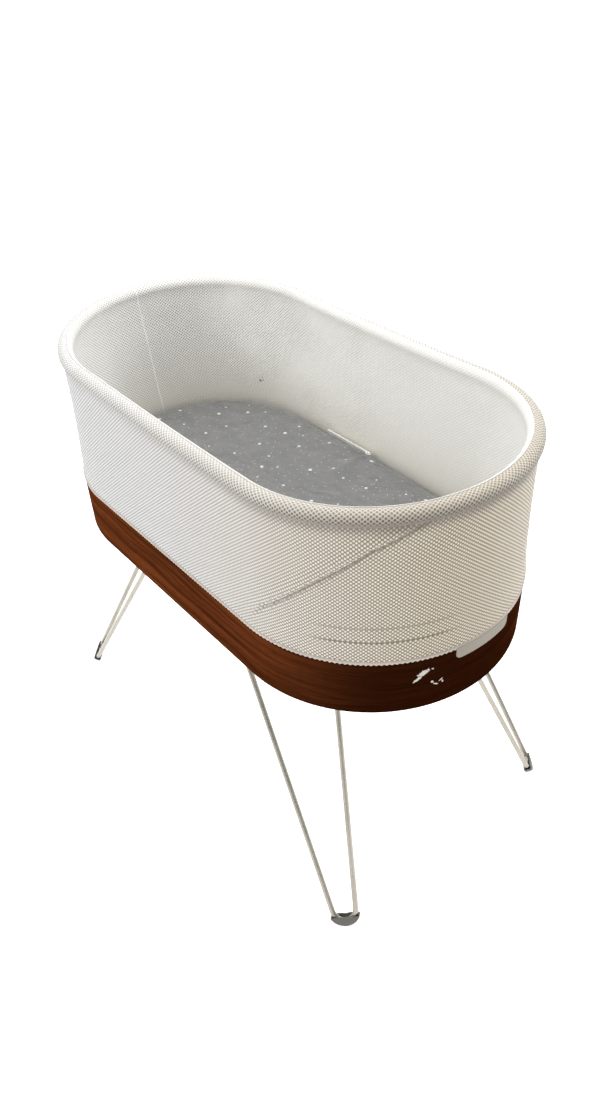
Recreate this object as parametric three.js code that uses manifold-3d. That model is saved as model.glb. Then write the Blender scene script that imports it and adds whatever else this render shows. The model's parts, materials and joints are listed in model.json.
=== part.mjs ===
// Motorised bassinet on four hairpin legs.
// Units are millimetres, +Z is up. The origin is on the floor under the centre of the body,
// +X points to the foot end, +Y to the right-hand side as seen from the foot end.

import * as THREE from 'three';
import { mergeVertices } from 'three/addons/utils/BufferGeometryUtils.js';
import Module from 'manifold-3d';

const wasm = await Module();
wasm.setup();

// ---- driving dimensions -------------------------------------------------------------------

// The body's plan is an oval: two straight sides between two nearly round ends.
const SIDE_HALF = 216.5;          // half length of a straight side
const END_DEPTH = 222.6;          // depth of a rounded end, at the rim's centre line
const HALF_WIDTH = 228.4;         // half width at the rim's centre line
const ARC_STEPS = 18;             // facets round one end
const SIDE_STEPS = 4;             // facets along one straight side

const CLEARANCE = 0.3;            // between pieces that touch
const RUNNING = 0.35;             // radial, between a shaft and its bore

// Heights above the floor
const BAND_BOTTOM = 444.7;
const BAND_HEIGHT = 100.6;
const RIM_HEIGHT = 774.5;         // centre of the rim at mid length
const RIM_RISE = 12;              // how much higher the rim is at both ends
const RISE_START = 560;           // the wall leans into the rise from this height

// Wood band and what it holds
const BAND_OFFSET = 14.3;         // band's outer face, outside the rim's centre line
const BAND_WALL = 8;
const PAN_RECESS = 3;             // pan's underside above the band's lower edge
const PAN_FLOOR = 3;
const PAN_WALL = 2.5;
const PAN_DEPTH = 38.3;
const CHASSIS = { pastSide: 53.5, sideInset: 28.4, corner: 40, thickness: 3 };

// Rim, wall and liner
const RIM_RADIUS = 12.5;          // outside the mesh that wraps it
const MESH_WALL = 2.5;            // spacer mesh of the outer wall
const WRAP_WALL = 2;              // the same mesh where it is pulled over the rim
const HOOP_RADIUS = 6;
const SLEEVE_SLOT = 7.4;          // slot under the foam sleeve for the posts
const WAIST = 7.2;                // outer wall's narrowest offset
const WAIST_SHARE = 0.72;         // how far up the wall it is reached
const HEM_GAP = 0.7;              // between the band's top edge and the mesh hem
const LINER_WALL = 2;
const LINER_BOTTOM = 500;
const LINER_INSET = 6.4;          // liner's inner face at the mattress
const LINER_LEAN = [[8, 640], [9.4, 710]];   // its inset at two heights above that
const LINER_TOP_INSET = 11.7;     // where it meets the rim
const LINER_GAP = 0.9;            // between the liner and the hem ring's shelf
const POST_RADIUS = 2.8;
const POST_STEP = 5;              // facets between an end's middle and its posts
const WRAP_END = 198;             // where the mesh ends inside the rim, in degrees over the top
const WRAP_STEPS = 8;
const HEM_RING = { height: 15, wall: 2.8, shelf: 3 };

// Platform and mattress
const DECK_HEIGHT = 492;
const DECK_THICKNESS = 6;
const DECK_INSET = 24;            // deck's edge inside the rim's centre line
const MATTRESS_INSET = 20.4;
const MATTRESS_THICKNESS = 41.7;
const MATTRESS_ROUND = 9;
const CLIP = { length: 120, x: -65, thickness: 2.4, lap: 9, aboveDeck: 46 };

// Swivel drive
const BEARING = { outer: 60, split: 48, inner: 34, height: 12, lift: 2 };
const HUB = { radius: 47, flange: 70, flangeThickness: 6 };
const CRANK_X = -190;
const CRANK_THROW = 8.3;
const CRANK_PIN = 4;
const CRANK_PULLEY = { radius: 32, flange: 34.5, bottom: 458, height: 13, blind: 4.5 };
const CRANK_AXLE = { radius: 5, flange: 15, flangeThickness: 3 };
const YOKE = { length: 64, width: 44, bottom: 473.5, play: 2.2, depth: 10.5 };
const MOTOR = { x: -110, y: -60, radius: 30, height: 17, shaft: 2.5, boreDepth: 5 };
const MOTOR_PULLEY = { radius: 10, flange: 12, height: 9 };
const MOTOR_PLATE = { thickness: 2.7, bottom: 468, half: 34, foot: 10 };
const BELT = { thickness: 1.6, bottom: 460.2, height: 5 };

// Legs: a rod bent into a hairpin, welded to a plate that plugs into the body
const ROD_RADIUS = 4.75;
// Places are from the end of the straight side and from the rim's centre line.
const FOOT = { pastSide: 204.8, pastRim: 18.1 };
const ROD_TOP_INNER = { pastSide: 25, pastRim: -121.8 };   // at the band's lower edge
const ROD_TOP_OUTER = { pastSide: -89.5, pastRim: -21.7 };
const BEND_RADIUS = 20.3;
const BEND_LOW = 7;               // centre of the rod's lowest point, along the leg
const ROD_SIDES = 10;
const BEND_STEPS = 8;
const LEG_PLATE = { thickness: 5, radius: 14, tongueWidth: 40, tongueThickness: 6, tongueRise: 24 };
const CAP = { radius: 28.5, lip: 2.2, ends: 10, dip: 6 };   // ends in degrees below level
const SOCKET = { length: 70, width: 26, height: 26 };
const LATCH = { width: 18, length: 26, height: 12, lift: 3, nose: 8, tab: 8, travel: 7, reach: 3 };

// Small parts
const BUTTON = { radius: 12, ringRadius: 15, height: 503, depth: 13 };
const TAB = { y: -2.5, width: 105, drop: 21.5, thickness: 1.5, corner: 9 };
const SPEAKER = { x: 150, radius: 38, magnet: 20, height: 26 };
const BOARD = { x: 0, sideInset: 88.4, length: 100, width: 60, thickness: 1.6, lift: 4 };
const INLET = { x: -330, length: 22, width: 18, slotLength: 12, slotWidth: 8, slotDepth: 10, height: 14 };
const MICROPHONE = { x: -100, radius: 5, length: 6, height: 476 };
const SCREW = { head: 4.3, headHeight: 2, shank: 2 };
const SCREW_PLACES = [     // repeated in all four quadrants
  { x: 100, y: HALF_WIDTH - 43.4 },
  { x: SIDE_HALF + 38.5, y: 40 },
];

// ---- worked-out heights and offsets ---------------------------------------------------------

const BAND_TOP = BAND_BOTTOM + BAND_HEIGHT;
const BAND_INNER = BAND_OFFSET - BAND_WALL;
const PAN_BOTTOM = BAND_BOTTOM + PAN_RECESS;
const PAN_TOP_OF_FLOOR = PAN_BOTTOM + PAN_FLOOR;
const PAN_OFFSET = BAND_INNER - CLEARANCE;
const CHASSIS_BOTTOM = PAN_TOP_OF_FLOOR + CLEARANCE;
const CHASSIS_TOP = CHASSIS_BOTTOM + CHASSIS.thickness;
const ON_CHASSIS = CHASSIS_TOP + CLEARANCE;
const DECK_TOP = DECK_HEIGHT + DECK_THICKNESS;
const MATTRESS_BOTTOM = DECK_TOP + CLEARANCE;
const UNDER_DECK = DECK_HEIGHT - CLEARANCE;
const FULL_HALF_LENGTH = SIDE_HALF + END_DEPTH + RIM_RADIUS;
const BAND_END_X = SIDE_HALF + END_DEPTH + BAND_OFFSET;
const END_STEP = CLEARANCE + TAB.thickness;     // how far the tab and the button stand proud

// ---- materials ------------------------------------------------------------------------------

const material = (name, color, roughness, metalness = 0) =>
  new THREE.MeshStandardMaterial({ name, color, roughness, metalness });

const WOOD = ['walnut_veneer', 0x56311b, 0.45];
const STEEL = ['plated_steel', 0xc4c4c2, 0.25, 1];
const ALUMINIUM = ['cast_aluminium', 0xa6a8aa, 0.5, 1];
const RUBBER = ['grey_rubber', 0x8b8d8c, 0.7];
const WHITE_PLASTIC = ['white_plastic', 0xe6e5e1, 0.5];
const DARK_PLASTIC = ['dark_plastic', 0x2c2d2f, 0.5];
const MESH_FABRIC = ['spacer_mesh', 0xe4e2dd, 0.9];
const LINER_FABRIC = ['liner_mesh', 0xd8d5cc, 0.9];
const FOAM = ['rim_foam', 0xcfcfca, 0.95];
const SHEET = ['jersey_sheet', 0x8b8b8b, 0.95];
const TAB_SILICONE = ['tab_silicone', 0xd3cdc2, 0.6];
const PLYWOOD = ['birch_plywood', 0xc9a877, 0.6];
const CIRCUIT = ['circuit_board', 0x2f5a3c, 0.5];
const LENS = ['light_diffuser', 0xf2f2ee, 0.35];

// ---- solids: booleans and placing -----------------------------------------------------------

function toSolid(geometry) {
  const bare = geometry.index ? geometry.clone() : geometry;
  bare.deleteAttribute('normal');
  bare.deleteAttribute('uv');
  const merged = mergeVertices(bare, 1e-4);
  return new wasm.Manifold(new wasm.Mesh({
    numProp: 3,
    vertProperties: new Float32Array(merged.attributes.position.array),
    triVerts: new Uint32Array(merged.index.array),
  }));
}

function toGeometry(solid) {
  const mesh = solid.getMesh();
  const geometry = new THREE.BufferGeometry();
  geometry.setAttribute('position', new THREE.BufferAttribute(mesh.vertProperties, 3));
  geometry.setIndex(new THREE.BufferAttribute(mesh.triVerts, 1));
  return geometry;
}

function cut(body, ...tools) {
  return toGeometry(tools.reduce((solid, tool) => solid.subtract(toSolid(tool)), toSolid(body)));
}

function join(...pieces) {
  return toGeometry(pieces.map(toSolid).reduce((solid, piece) => solid.add(piece)));
}

function common(first, second) {
  return toGeometry(toSolid(first).intersect(toSolid(second)));
}

// A closed surface made by mapping another one may come out inside out; this turns it round.
function facingOut(geometry) {
  const { position } = geometry.attributes;
  const order = geometry.index.array;
  const [a, b, c] = [new THREE.Vector3(), new THREE.Vector3(), new THREE.Vector3()];
  let volume = 0;
  for (let i = 0; i < order.length; i += 3) {
    a.fromBufferAttribute(position, order[i]);
    b.fromBufferAttribute(position, order[i + 1]);
    c.fromBufferAttribute(position, order[i + 2]);
    volume += a.dot(b.cross(c));
  }
  if (volume < 0) {
    for (let i = 0; i < order.length; i += 3) {
      [order[i], order[i + 1]] = [order[i + 1], order[i]];
    }
  }
  return geometry;
}

// ---- simple shapes --------------------------------------------------------------------------

function box(x0, x1, y0, y1, z0, z1) {
  return new THREE.BoxGeometry(x1 - x0, y1 - y0, z1 - z0)
    .translate((x0 + x1) / 2, (y0 + y1) / 2, (z0 + z1) / 2);
}

function upright(radius, bottom, top, x = 0, y = 0, sides = 32) {
  return new THREE.CylinderGeometry(radius, radius, top - bottom, sides)
    .rotateX(Math.PI / 2).translate(x, y, (bottom + top) / 2);
}

function alongX(radius, x0, x1, y, z, sides = 32) {
  return new THREE.CylinderGeometry(radius, radius, x1 - x0, sides)
    .rotateZ(Math.PI / 2).translate((x0 + x1) / 2, y, z);
}

// A turned piece: the outline is a list of [radius, height] that starts and ends on the axis.
function turned(outline, sides = 36) {
  const points = outline.map(([radius, height]) => new THREE.Vector2(radius, height));
  return facingOut(mergeVertices(bareLathe(points, sides)).rotateX(Math.PI / 2));
}

function bareLathe(points, sides) {
  const lathe = new THREE.LatheGeometry(points, sides);
  lathe.deleteAttribute('normal');
  lathe.deleteAttribute('uv');
  return lathe;
}

function ringWall(outer, inner, bottom, top, sides = 40) {
  return cut(upright(outer, bottom, top, 0, 0, sides), upright(inner, bottom - 1, top + 1, 0, 0, sides));
}

function slab(shape, bottom, top, curveSegments = 8) {
  return new THREE.ExtrudeGeometry(shape, { depth: top - bottom, bevelEnabled: false, curveSegments })
    .translate(0, 0, bottom);
}

function roundedRectangle(halfLength, halfWidth, corner) {
  const shape = new THREE.Shape();
  shape.absarc(halfLength - corner, halfWidth - corner, corner, 0, Math.PI / 2);
  shape.absarc(corner - halfLength, halfWidth - corner, corner, Math.PI / 2, Math.PI);
  shape.absarc(corner - halfLength, corner - halfWidth, corner, Math.PI, 1.5 * Math.PI);
  shape.absarc(halfLength - corner, corner - halfWidth, corner, 1.5 * Math.PI, 2 * Math.PI);
  return shape;
}

// A plate with round ends between two points
function capsule(from, to, radius) {
  const angle = Math.atan2(to.y - from.y, to.x - from.x);
  const shape = new THREE.Shape();
  shape.absarc(to.x, to.y, radius, angle - Math.PI / 2, angle + Math.PI / 2);
  shape.absarc(from.x, from.y, radius, angle + Math.PI / 2, angle + 1.5 * Math.PI);
  return shape;
}

// ---- the oval -------------------------------------------------------------------------------

// Stations round the oval: the end's side, the angle round that end, and the place along a side.
function ovalStations() {
  const stations = [];
  for (const end of [1, -1]) {
    for (let i = 0; i <= ARC_STEPS; i += 1) {
      stations.push({ end, angle: Math.PI * (i / ARC_STEPS - 0.5), shift: 1 });
    }
    for (let i = 1; i < SIDE_STEPS; i += 1) {
      stations.push({ end, angle: Math.PI / 2, shift: 1 - (2 * i) / SIDE_STEPS });
    }
  }
  return stations;
}

const STATIONS = ovalStations();

function ovalPoint({ end, angle, shift }, offset) {
  return new THREE.Vector2(
    end * (SIDE_HALF * shift + (END_DEPTH + offset) * Math.cos(angle)),
    end * (HALF_WIDTH + offset) * Math.sin(angle),
  );
}

function riseAt(x, z) {
  const lean = THREE.MathUtils.clamp((z - RISE_START) / (RIM_HEIGHT - RIM_RADIUS - RISE_START), 0, 1);
  return RIM_RISE * (x / FULL_HALF_LENGTH) ** 2 * lean;
}

// A closed section of [offset, height] points carried round the oval: a lathe stretched to it
function ovalRing(section) {
  const points = section.map(([offset, height]) => new THREE.Vector2(HALF_WIDTH + offset, height));
  points.push(points[0].clone());
  const lathe = bareLathe(points, STATIONS.length);
  const { position } = lathe.attributes;
  for (let i = 0; i < position.count; i += 1) {
    const station = STATIONS[Math.floor(i / points.length) % STATIONS.length];
    const point = points[i % points.length];
    const place = ovalPoint(station, point.x - HALF_WIDTH);
    position.setXYZ(i, place.x, place.y, point.y + riseAt(place.x, point.y));
  }
  return facingOut(mergeVertices(lathe, 1e-3));
}

function ovalShape(offset) {
  return new THREE.Shape(STATIONS.map((station) => ovalPoint(station, offset)));
}

// Points on a circle of the ring's section, by angle from outwards through up
function arcPoints(radius, from, to, steps, z = RIM_HEIGHT) {
  return Array.from({ length: steps + 1 }, (_, i) => {
    const angle = THREE.MathUtils.degToRad(from + ((to - from) * i) / steps);
    return [radius * Math.cos(angle), z + radius * Math.sin(angle)];
  });
}

// ---- one leg's own frame --------------------------------------------------------------------

const QUADRANTS = [
  { name: 'foot_right', sx: 1, sy: 1 },
  { name: 'foot_left', sx: 1, sy: -1 },
  { name: 'head_right', sx: -1, sy: 1 },
  { name: 'head_left', sx: -1, sy: -1 },
];

// The leg lies in a leaning plane: across is level, up runs up the leg, out is square to both.
function legFrame({ sx, sy }) {
  const place = ({ pastSide, pastRim }, z) =>
    new THREE.Vector3(sx * (SIDE_HALF + pastSide), sy * (HALF_WIDTH + pastRim), z);
  const foot = place(FOOT, 0);
  const inner = place(ROD_TOP_INNER, BAND_BOTTOM);
  const outer = place(ROD_TOP_OUTER, BAND_BOTTOM);
  const across = outer.clone().sub(inner).normalize();
  const up = inner.clone().sub(foot);
  up.addScaledVector(across, -up.dot(across)).normalize();
  const middle = inner.clone().add(outer).multiplyScalar(0.5);
  const inward = new THREE.Vector3(across.y, -across.x, 0);
  if (inward.dot(middle) > 0) inward.negate();
  return { foot, inner, outer, across, up, middle, inward };
}

// A shape drawn in (across, up) and pushed through the leg's plane by its half thickness
function inLegPlane(frame, shape, halfThickness) {
  const out = new THREE.Vector3().crossVectors(frame.across, frame.up);
  const placing = new THREE.Matrix4().makeBasis(frame.across, frame.up, out).setPosition(frame.foot);
  return new THREE.ExtrudeGeometry(shape, { depth: 2 * halfThickness, bevelEnabled: false, curveSegments: 8 })
    .translate(0, 0, -halfThickness).applyMatrix4(placing);
}

// A box in the level frame of a leg's plate: along the plate, inward, and height
function onPlate(frame, along, inward, z0, z1) {
  const placing = new THREE.Matrix4().makeBasis(
    new THREE.Vector3().crossVectors(frame.inward, new THREE.Vector3(0, 0, 1)),
    frame.inward,
    new THREE.Vector3(0, 0, 1),
  ).setPosition(frame.middle.x, frame.middle.y, 0);
  return box(along[0], along[1], inward[0], inward[1], z0, z1).applyMatrix4(placing);
}

// Hairpin centre line: down one rod, round the bend and up the other. Its stations are spread
// evenly over the bend, and each straight rod is one step.
class Hairpin extends THREE.Curve {
  constructor(frame, topHeight) {
    super();
    const flat = (point) => {
      const arm = point.clone().sub(frame.foot);
      return new THREE.Vector2(arm.dot(frame.across), arm.dot(frame.up));
    };
    this.frame = frame;
    this.centre = new THREE.Vector2(0, BEND_LOW + BEND_RADIUS);
    this.tops = [flat(frame.inner), flat(frame.outer)];
    this.angles = this.tops.map((top, side) => {
      const arm = top.clone().sub(this.centre);
      const swing = Math.acos(BEND_RADIUS / arm.length());
      return arm.angle() + (side === 0 ? swing : -swing);
    });
    this.angles[0] -= this.angles[0] > Math.PI ? 2 * Math.PI : 0;
    this.angles[1] -= this.angles[1] > this.angles[0] ? 2 * Math.PI : 0;
    this.angles = [this.angles[0], this.angles[1] + 2 * Math.PI];
    this.lift = (topHeight - BAND_BOTTOM) / (BAND_BOTTOM / flat(frame.inner).y);
  }

  onBend(share) {
    const angle = THREE.MathUtils.lerp(this.angles[0], this.angles[1], share);
    return new THREE.Vector2(Math.cos(angle), Math.sin(angle)).multiplyScalar(BEND_RADIUS).add(this.centre);
  }

  flatPoint(t) {
    const station = t * (BEND_STEPS + 2);
    const [start, end] = [this.onBend(0), this.onBend(1)];
    const top = (side, bendEnd) => {
      const run = this.tops[side].clone().sub(bendEnd);
      return this.tops[side].clone().addScaledVector(run, this.lift / run.y);
    };
    if (station <= 1) return top(0, start).lerp(start, station);
    if (station >= BEND_STEPS + 1) return end.clone().lerp(top(1, end), station - BEND_STEPS - 1);
    return this.onBend((station - 1) / BEND_STEPS);
  }

  getPoint(t, target = new THREE.Vector3()) {
    const flat = this.flatPoint(t);
    return target.copy(this.frame.foot)
      .addScaledVector(this.frame.across, flat.x).addScaledVector(this.frame.up, flat.y);
  }

  getPointAt(t, target) {
    return this.getPoint(t, target);
  }

  getTangentAt(t, target) {
    return this.getTangent(t, target);
  }
}

function hairpinRod(frame, radius, topHeight) {
  const round = new THREE.Shape().absarc(0, 0, radius, 0, 2 * Math.PI);
  return new THREE.ExtrudeGeometry(round, {
    steps: BEND_STEPS + 2,
    curveSegments: ROD_SIDES / 2,
    bevelEnabled: false,
    extrudePath: new Hairpin(frame, topHeight),
  });
}

// ---- the legs -------------------------------------------------------------------------------

const PLATE_TOP = CHASSIS_BOTTOM - CLEARANCE;
const PLATE_BOTTOM = PLATE_TOP - LEG_PLATE.thickness;
const SOCKET_TOP = ON_CHASSIS + SOCKET.height;
const LATCH_BOTTOM = ON_CHASSIS + LATCH.lift;
const NOSE_BOTTOM = LATCH_BOTTOM + (LATCH.height - LATCH.nose) / 2;
const SOCKET_FACE = SOCKET.width / 2;
const TONGUE_HALF = LEG_PLATE.tongueThickness / 2;

// The tongue's window and the socket's window, which the latch's nose passes through
function latchWindow(frame, from, to) {
  const half = LATCH.nose / 2 + CLEARANCE;
  return onPlate(frame, [-half, half], [from, to], NOSE_BOTTOM - CLEARANCE, NOSE_BOTTOM + LATCH.nose + CLEARANCE);
}

function leg(frame) {
  const half = LEG_PLATE.tongueWidth / 2;
  const plate = slab(capsule(frame.inner, frame.outer, LEG_PLATE.radius), PLATE_BOTTOM, PLATE_TOP);
  const tongue = onPlate(frame, [-half, half], [-TONGUE_HALF, TONGUE_HALF],
    PLATE_TOP - 1, PLATE_TOP + LEG_PLATE.tongueRise);
  const rod = hairpinRod(frame, ROD_RADIUS, PLATE_BOTTOM + LEG_PLATE.thickness / 2);
  return cut(join(rod, plate, tongue), latchWindow(frame, -SOCKET_FACE, SOCKET_FACE));
}

// A rubber cap that hugs the bend as an open channel; its top edge dips between the two rods
function footCap(frame) {
  const centre = BEND_LOW + BEND_RADIUS;
  const end = THREE.MathUtils.degToRad(CAP.ends);
  const [endX, endY] = [CAP.radius * Math.cos(end), centre - CAP.radius * Math.sin(end)];
  const dip = BEND_LOW + ROD_RADIUS - CAP.dip;
  const outline = new THREE.Shape();
  outline.absarc(0, centre, CAP.radius, Math.PI + end, 2 * Math.PI - end);
  outline.bezierCurveTo(endX / 2, endY, endX / 2, dip, 0, dip + CAP.dip);
  outline.bezierCurveTo(-endX / 2, dip, -endX / 2, endY, -endX, endY);
  const reach = 2 * CAP.radius;
  const underFloor = box(-reach, reach, -reach, reach, -reach, 0).translate(frame.foot.x, frame.foot.y, 0);
  const channel = hairpinRod(frame, ROD_RADIUS + CLEARANCE, BAND_BOTTOM);
  return cut(inLegPlane(frame, outline, ROD_RADIUS + CLEARANCE + CAP.lip), underFloor, channel);
}

function legSocket(frame) {
  const half = SOCKET.length / 2;
  const slotHalf = LEG_PLATE.tongueWidth / 2 + CLEARANCE;
  const slotSide = TONGUE_HALF + CLEARANCE;
  return cut(
    onPlate(frame, [-half, half], [-SOCKET_FACE, SOCKET_FACE], ON_CHASSIS, SOCKET_TOP),
    onPlate(frame, [-slotHalf, slotHalf], [-slotSide, slotSide],
      ON_CHASSIS - 1, PLATE_TOP + LEG_PLATE.tongueRise + CLEARANCE),
    latchWindow(frame, 0, SOCKET_FACE + 1),
  );
}

// A slider with a nose through the tongue and a thumb tab down through chassis and pan
function legLatch(frame) {
  const near = SOCKET_FACE + CLEARANCE;
  const half = LATCH.width / 2;
  const tabStart = near + LATCH.length - LATCH.tab - 2;
  return join(
    onPlate(frame, [-half, half], [near, near + LATCH.length], LATCH_BOTTOM, LATCH_BOTTOM + LATCH.height),
    onPlate(frame, [-LATCH.nose / 2, LATCH.nose / 2], [-LATCH.reach, near + 1],
      NOSE_BOTTOM, NOSE_BOTTOM + LATCH.nose),
    onPlate(frame, [-LATCH.nose, LATCH.nose], [tabStart, tabStart + LATCH.tab],
      PAN_BOTTOM - 1, LATCH_BOTTOM + 1),
  );
}

// The slot that the thumb tab travels in
function latchSlot(frame) {
  const start = SOCKET_FACE + CLEARANCE + LATCH.length - LATCH.tab - 2;
  const half = LATCH.nose + CLEARANCE;
  return onPlate(frame, [-half, half], [start - 1, start + LATCH.tab + LATCH.travel + 1],
    PAN_BOTTOM - 2, ON_CHASSIS);
}

// The opening in the pan that the leg's plate fills
function plateOpening(frame) {
  return slab(capsule(frame.inner, frame.outer, LEG_PLATE.radius + 1), PAN_BOTTOM - 1, PAN_TOP_OF_FLOOR + 1);
}

function tongueSlot(frame) {
  const half = LEG_PLATE.tongueWidth / 2 + CLEARANCE;
  const side = TONGUE_HALF + CLEARANCE;
  return onPlate(frame, [-half, half], [-side, side], CHASSIS_BOTTOM - 1, CHASSIS_TOP + 1);
}

// ---- the body -------------------------------------------------------------------------------

const FRAMES = QUADRANTS.map((quadrant) => ({ ...quadrant, ...legFrame(quadrant) }));
const SCREW_POINTS = SCREW_PLACES.flatMap(({ x, y }) => QUADRANTS.map(({ sx, sy }) => [sx * x, sy * y]));

function screwHoles() {
  return SCREW_POINTS.map(([x, y]) => upright(SCREW.shank + CLEARANCE, PAN_BOTTOM - 1, CHASSIS_TOP + 1, x, y, 10));
}

function bandVeneer() {
  const ring = ovalRing([
    [BAND_INNER, BAND_BOTTOM], [BAND_OFFSET, BAND_BOTTOM], [BAND_OFFSET, BAND_TOP], [BAND_INNER, BAND_TOP],
  ]);
  return cut(ring, alongX(BUTTON.ringRadius + CLEARANCE, -BAND_END_X - 5, 5 - BAND_END_X + BAND_WALL,
    0, BUTTON.height));
}

function basePan() {
  const slot = INLET;
  return cut(
    slab(ovalShape(PAN_OFFSET), PAN_BOTTOM, PAN_BOTTOM + PAN_DEPTH),
    slab(ovalShape(PAN_OFFSET - PAN_WALL), PAN_TOP_OF_FLOOR, PAN_BOTTOM + PAN_DEPTH + 1),
    box(slot.x - slot.slotLength / 2, slot.x + slot.slotLength / 2, -slot.slotWidth / 2, slot.slotWidth / 2,
      PAN_BOTTOM - 1, PAN_TOP_OF_FLOOR + 1),
    ...FRAMES.map(plateOpening),
    ...FRAMES.map(latchSlot),
    ...screwHoles(),
  );
}

function chassisPlate() {
  return cut(
    slab(roundedRectangle(SIDE_HALF + CHASSIS.pastSide, HALF_WIDTH - CHASSIS.sideInset, CHASSIS.corner),
      CHASSIS_BOTTOM, CHASSIS_TOP),
    ...FRAMES.map(tongueSlot),
    ...FRAMES.map(latchSlot),
    ...screwHoles(),
  );
}

function baseScrew(x, y) {
  const headTop = PAN_BOTTOM - CLEARANCE;
  return turned([[0, headTop - SCREW.headHeight], [SCREW.head, headTop - SCREW.headHeight],
    [SCREW.head, headTop], [SCREW.shank, headTop], [SCREW.shank, CHASSIS_TOP], [0, CHASSIS_TOP]], 10)
    .translate(x, y, 0);
}

function powerInlet() {
  const { x, length, width, slotLength, slotWidth, slotDepth, height } = INLET;
  const bottom = PAN_TOP_OF_FLOOR + CLEARANCE;
  return cut(
    box(x - length / 2, x + length / 2, -width / 2, width / 2, bottom, bottom + height),
    box(x - slotLength / 2, x + slotLength / 2, -slotWidth / 2, slotWidth / 2, bottom - 1, bottom + slotDepth),
  );
}

function hemRing() {
  const outer = PAN_OFFSET;
  const shelfEdge = LINER_GAP - (LINER_INSET - LINER_WALL);
  const bottom = BAND_TOP - HEM_RING.height;
  return ovalRing([
    [shelfEdge, bottom], [outer, bottom], [outer, BAND_TOP], [outer - HEM_RING.wall, BAND_TOP],
    [outer - HEM_RING.wall, bottom + HEM_RING.shelf], [shelfEdge, bottom + HEM_RING.shelf],
  ]);
}

// ---- wall, rim and liner --------------------------------------------------------------------

// Outer wall's face: full at the hem, drawn in at the waist, then out to meet the rolled rim
function wallFace(share) {
  const hem = BAND_OFFSET - CLEARANCE;
  const drawn = Math.sin(Math.min(share / WAIST_SHARE, 1) * (Math.PI / 2));
  return hem - (hem - WAIST) * drawn;
}

function outerMesh() {
  const bottom = BAND_TOP + HEM_GAP;
  const rimUnder = RIM_HEIGHT - Math.sqrt(RIM_RADIUS ** 2 - WAIST ** 2);
  const height = rimUnder - bottom;
  const shares = [0, 0.2, 0.45, WAIST_SHARE, 1];
  const startAngle = THREE.MathUtils.radToDeg(Math.asin((rimUnder - RIM_HEIGHT) / RIM_RADIUS));
  const outside = shares.slice(0, -1).map((share) => [wallFace(share), bottom + share * height]);
  const inside = shares.slice(0, -1).reverse()
    .map((share) => [wallFace(share) - MESH_WALL, bottom + share * height]);
  const over = arcPoints(RIM_RADIUS, startAngle, WRAP_END, WRAP_STEPS);
  const back = arcPoints(RIM_RADIUS - WRAP_WALL, WRAP_END, startAngle - 4, WRAP_STEPS);
  return ovalRing([...outside, ...over, ...back, ...inside]);
}

function innerLiner() {
  const top = RIM_HEIGHT - 0.4 * RIM_RADIUS - 0.5;
  const face = [[LINER_INSET, LINER_BOTTOM], [LINER_INSET, RISE_START], ...LINER_LEAN, [LINER_TOP_INSET, top]]
    .map(([inset, z]) => [-inset, z]);
  return ovalRing([...face, ...face.map(([offset, z]) => [offset + LINER_WALL, z]).reverse()]);
}

function rimHoop() {
  return ovalRing(arcPoints(HOOP_RADIUS, 0, 360, WRAP_STEPS).slice(0, -1));
}

function rimSleeve() {
  const outer = (RIM_RADIUS - WRAP_WALL) * Math.cos(Math.PI / 2 / WRAP_STEPS) - CLEARANCE;
  const inner = HOOP_RADIUS / Math.cos(Math.PI / WRAP_STEPS) + CLEARANCE;
  const gap = (radius) => THREE.MathUtils.radToDeg(Math.asin(SLEEVE_SLOT / 2 / radius));
  return ovalRing([
    ...arcPoints(outer, gap(outer) - 90, 270 - gap(outer), WRAP_STEPS),
    ...arcPoints(inner, 270 - gap(inner), gap(inner) - 90, WRAP_STEPS - 2),
  ]);
}

function wallPost(station) {
  const place = ovalPoint(station, 0);
  const bottom = BAND_TOP - HEM_RING.height + HEM_RING.shelf + CLEARANCE;
  const top = RIM_HEIGHT + riseAt(place.x, RIM_HEIGHT) - HOOP_RADIUS - 2 * CLEARANCE;
  return upright(POST_RADIUS, bottom, top, place.x, place.y, 10);
}

const POST_ANGLE = (Math.PI * POST_STEP) / ARC_STEPS;
const POST_STATIONS = {
  foot_right: { end: 1, angle: POST_ANGLE, shift: 1 },
  foot_left: { end: 1, angle: -POST_ANGLE, shift: 1 },
  head_left: { end: -1, angle: POST_ANGLE, shift: 1 },
  head_right: { end: -1, angle: -POST_ANGLE, shift: 1 },
  middle_right: { end: 1, angle: Math.PI / 2, shift: 0 },
  middle_left: { end: -1, angle: Math.PI / 2, shift: 0 },
};

function labelTab() {
  const inner = BAND_OFFSET + CLEARANCE;
  const top = BAND_TOP + HEM_GAP - CLEARANCE;
  const band = ovalRing([
    [inner, top - TAB.drop], [inner + TAB.thickness, top - TAB.drop], [inner + TAB.thickness, top], [inner, top],
  ]);
  const outline = roundedRectangle(TAB.width / 2, TAB.drop, TAB.corner);
  const window = new THREE.ExtrudeGeometry(outline, { depth: 2 * BAND_END_X, bevelEnabled: false, curveSegments: 5 })
    .rotateX(Math.PI / 2).rotateZ(Math.PI / 2).translate(0, TAB.y, top);
  return common(band, window);
}

// ---- platform, mattress and drive -----------------------------------------------------------

function mattress() {
  const top = MATTRESS_BOTTOM + MATTRESS_THICKNESS;
  const edge = -MATTRESS_INSET;
  const rows = [
    [edge - MATTRESS_ROUND / 2, MATTRESS_BOTTOM], [edge, MATTRESS_BOTTOM + MATTRESS_ROUND / 2],
    [edge, top - MATTRESS_ROUND], [edge - MATTRESS_ROUND / 3, top - MATTRESS_ROUND / 3],
    [edge - MATTRESS_ROUND, top],
  ];
  const layers = rows.slice(0, -1).map(([offset, z], i) => loft(offset, z, rows[i + 1][0], rows[i + 1][1]));
  return toGeometry(layers.reduce((solid, layer) => solid.add(layer)));
}

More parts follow.
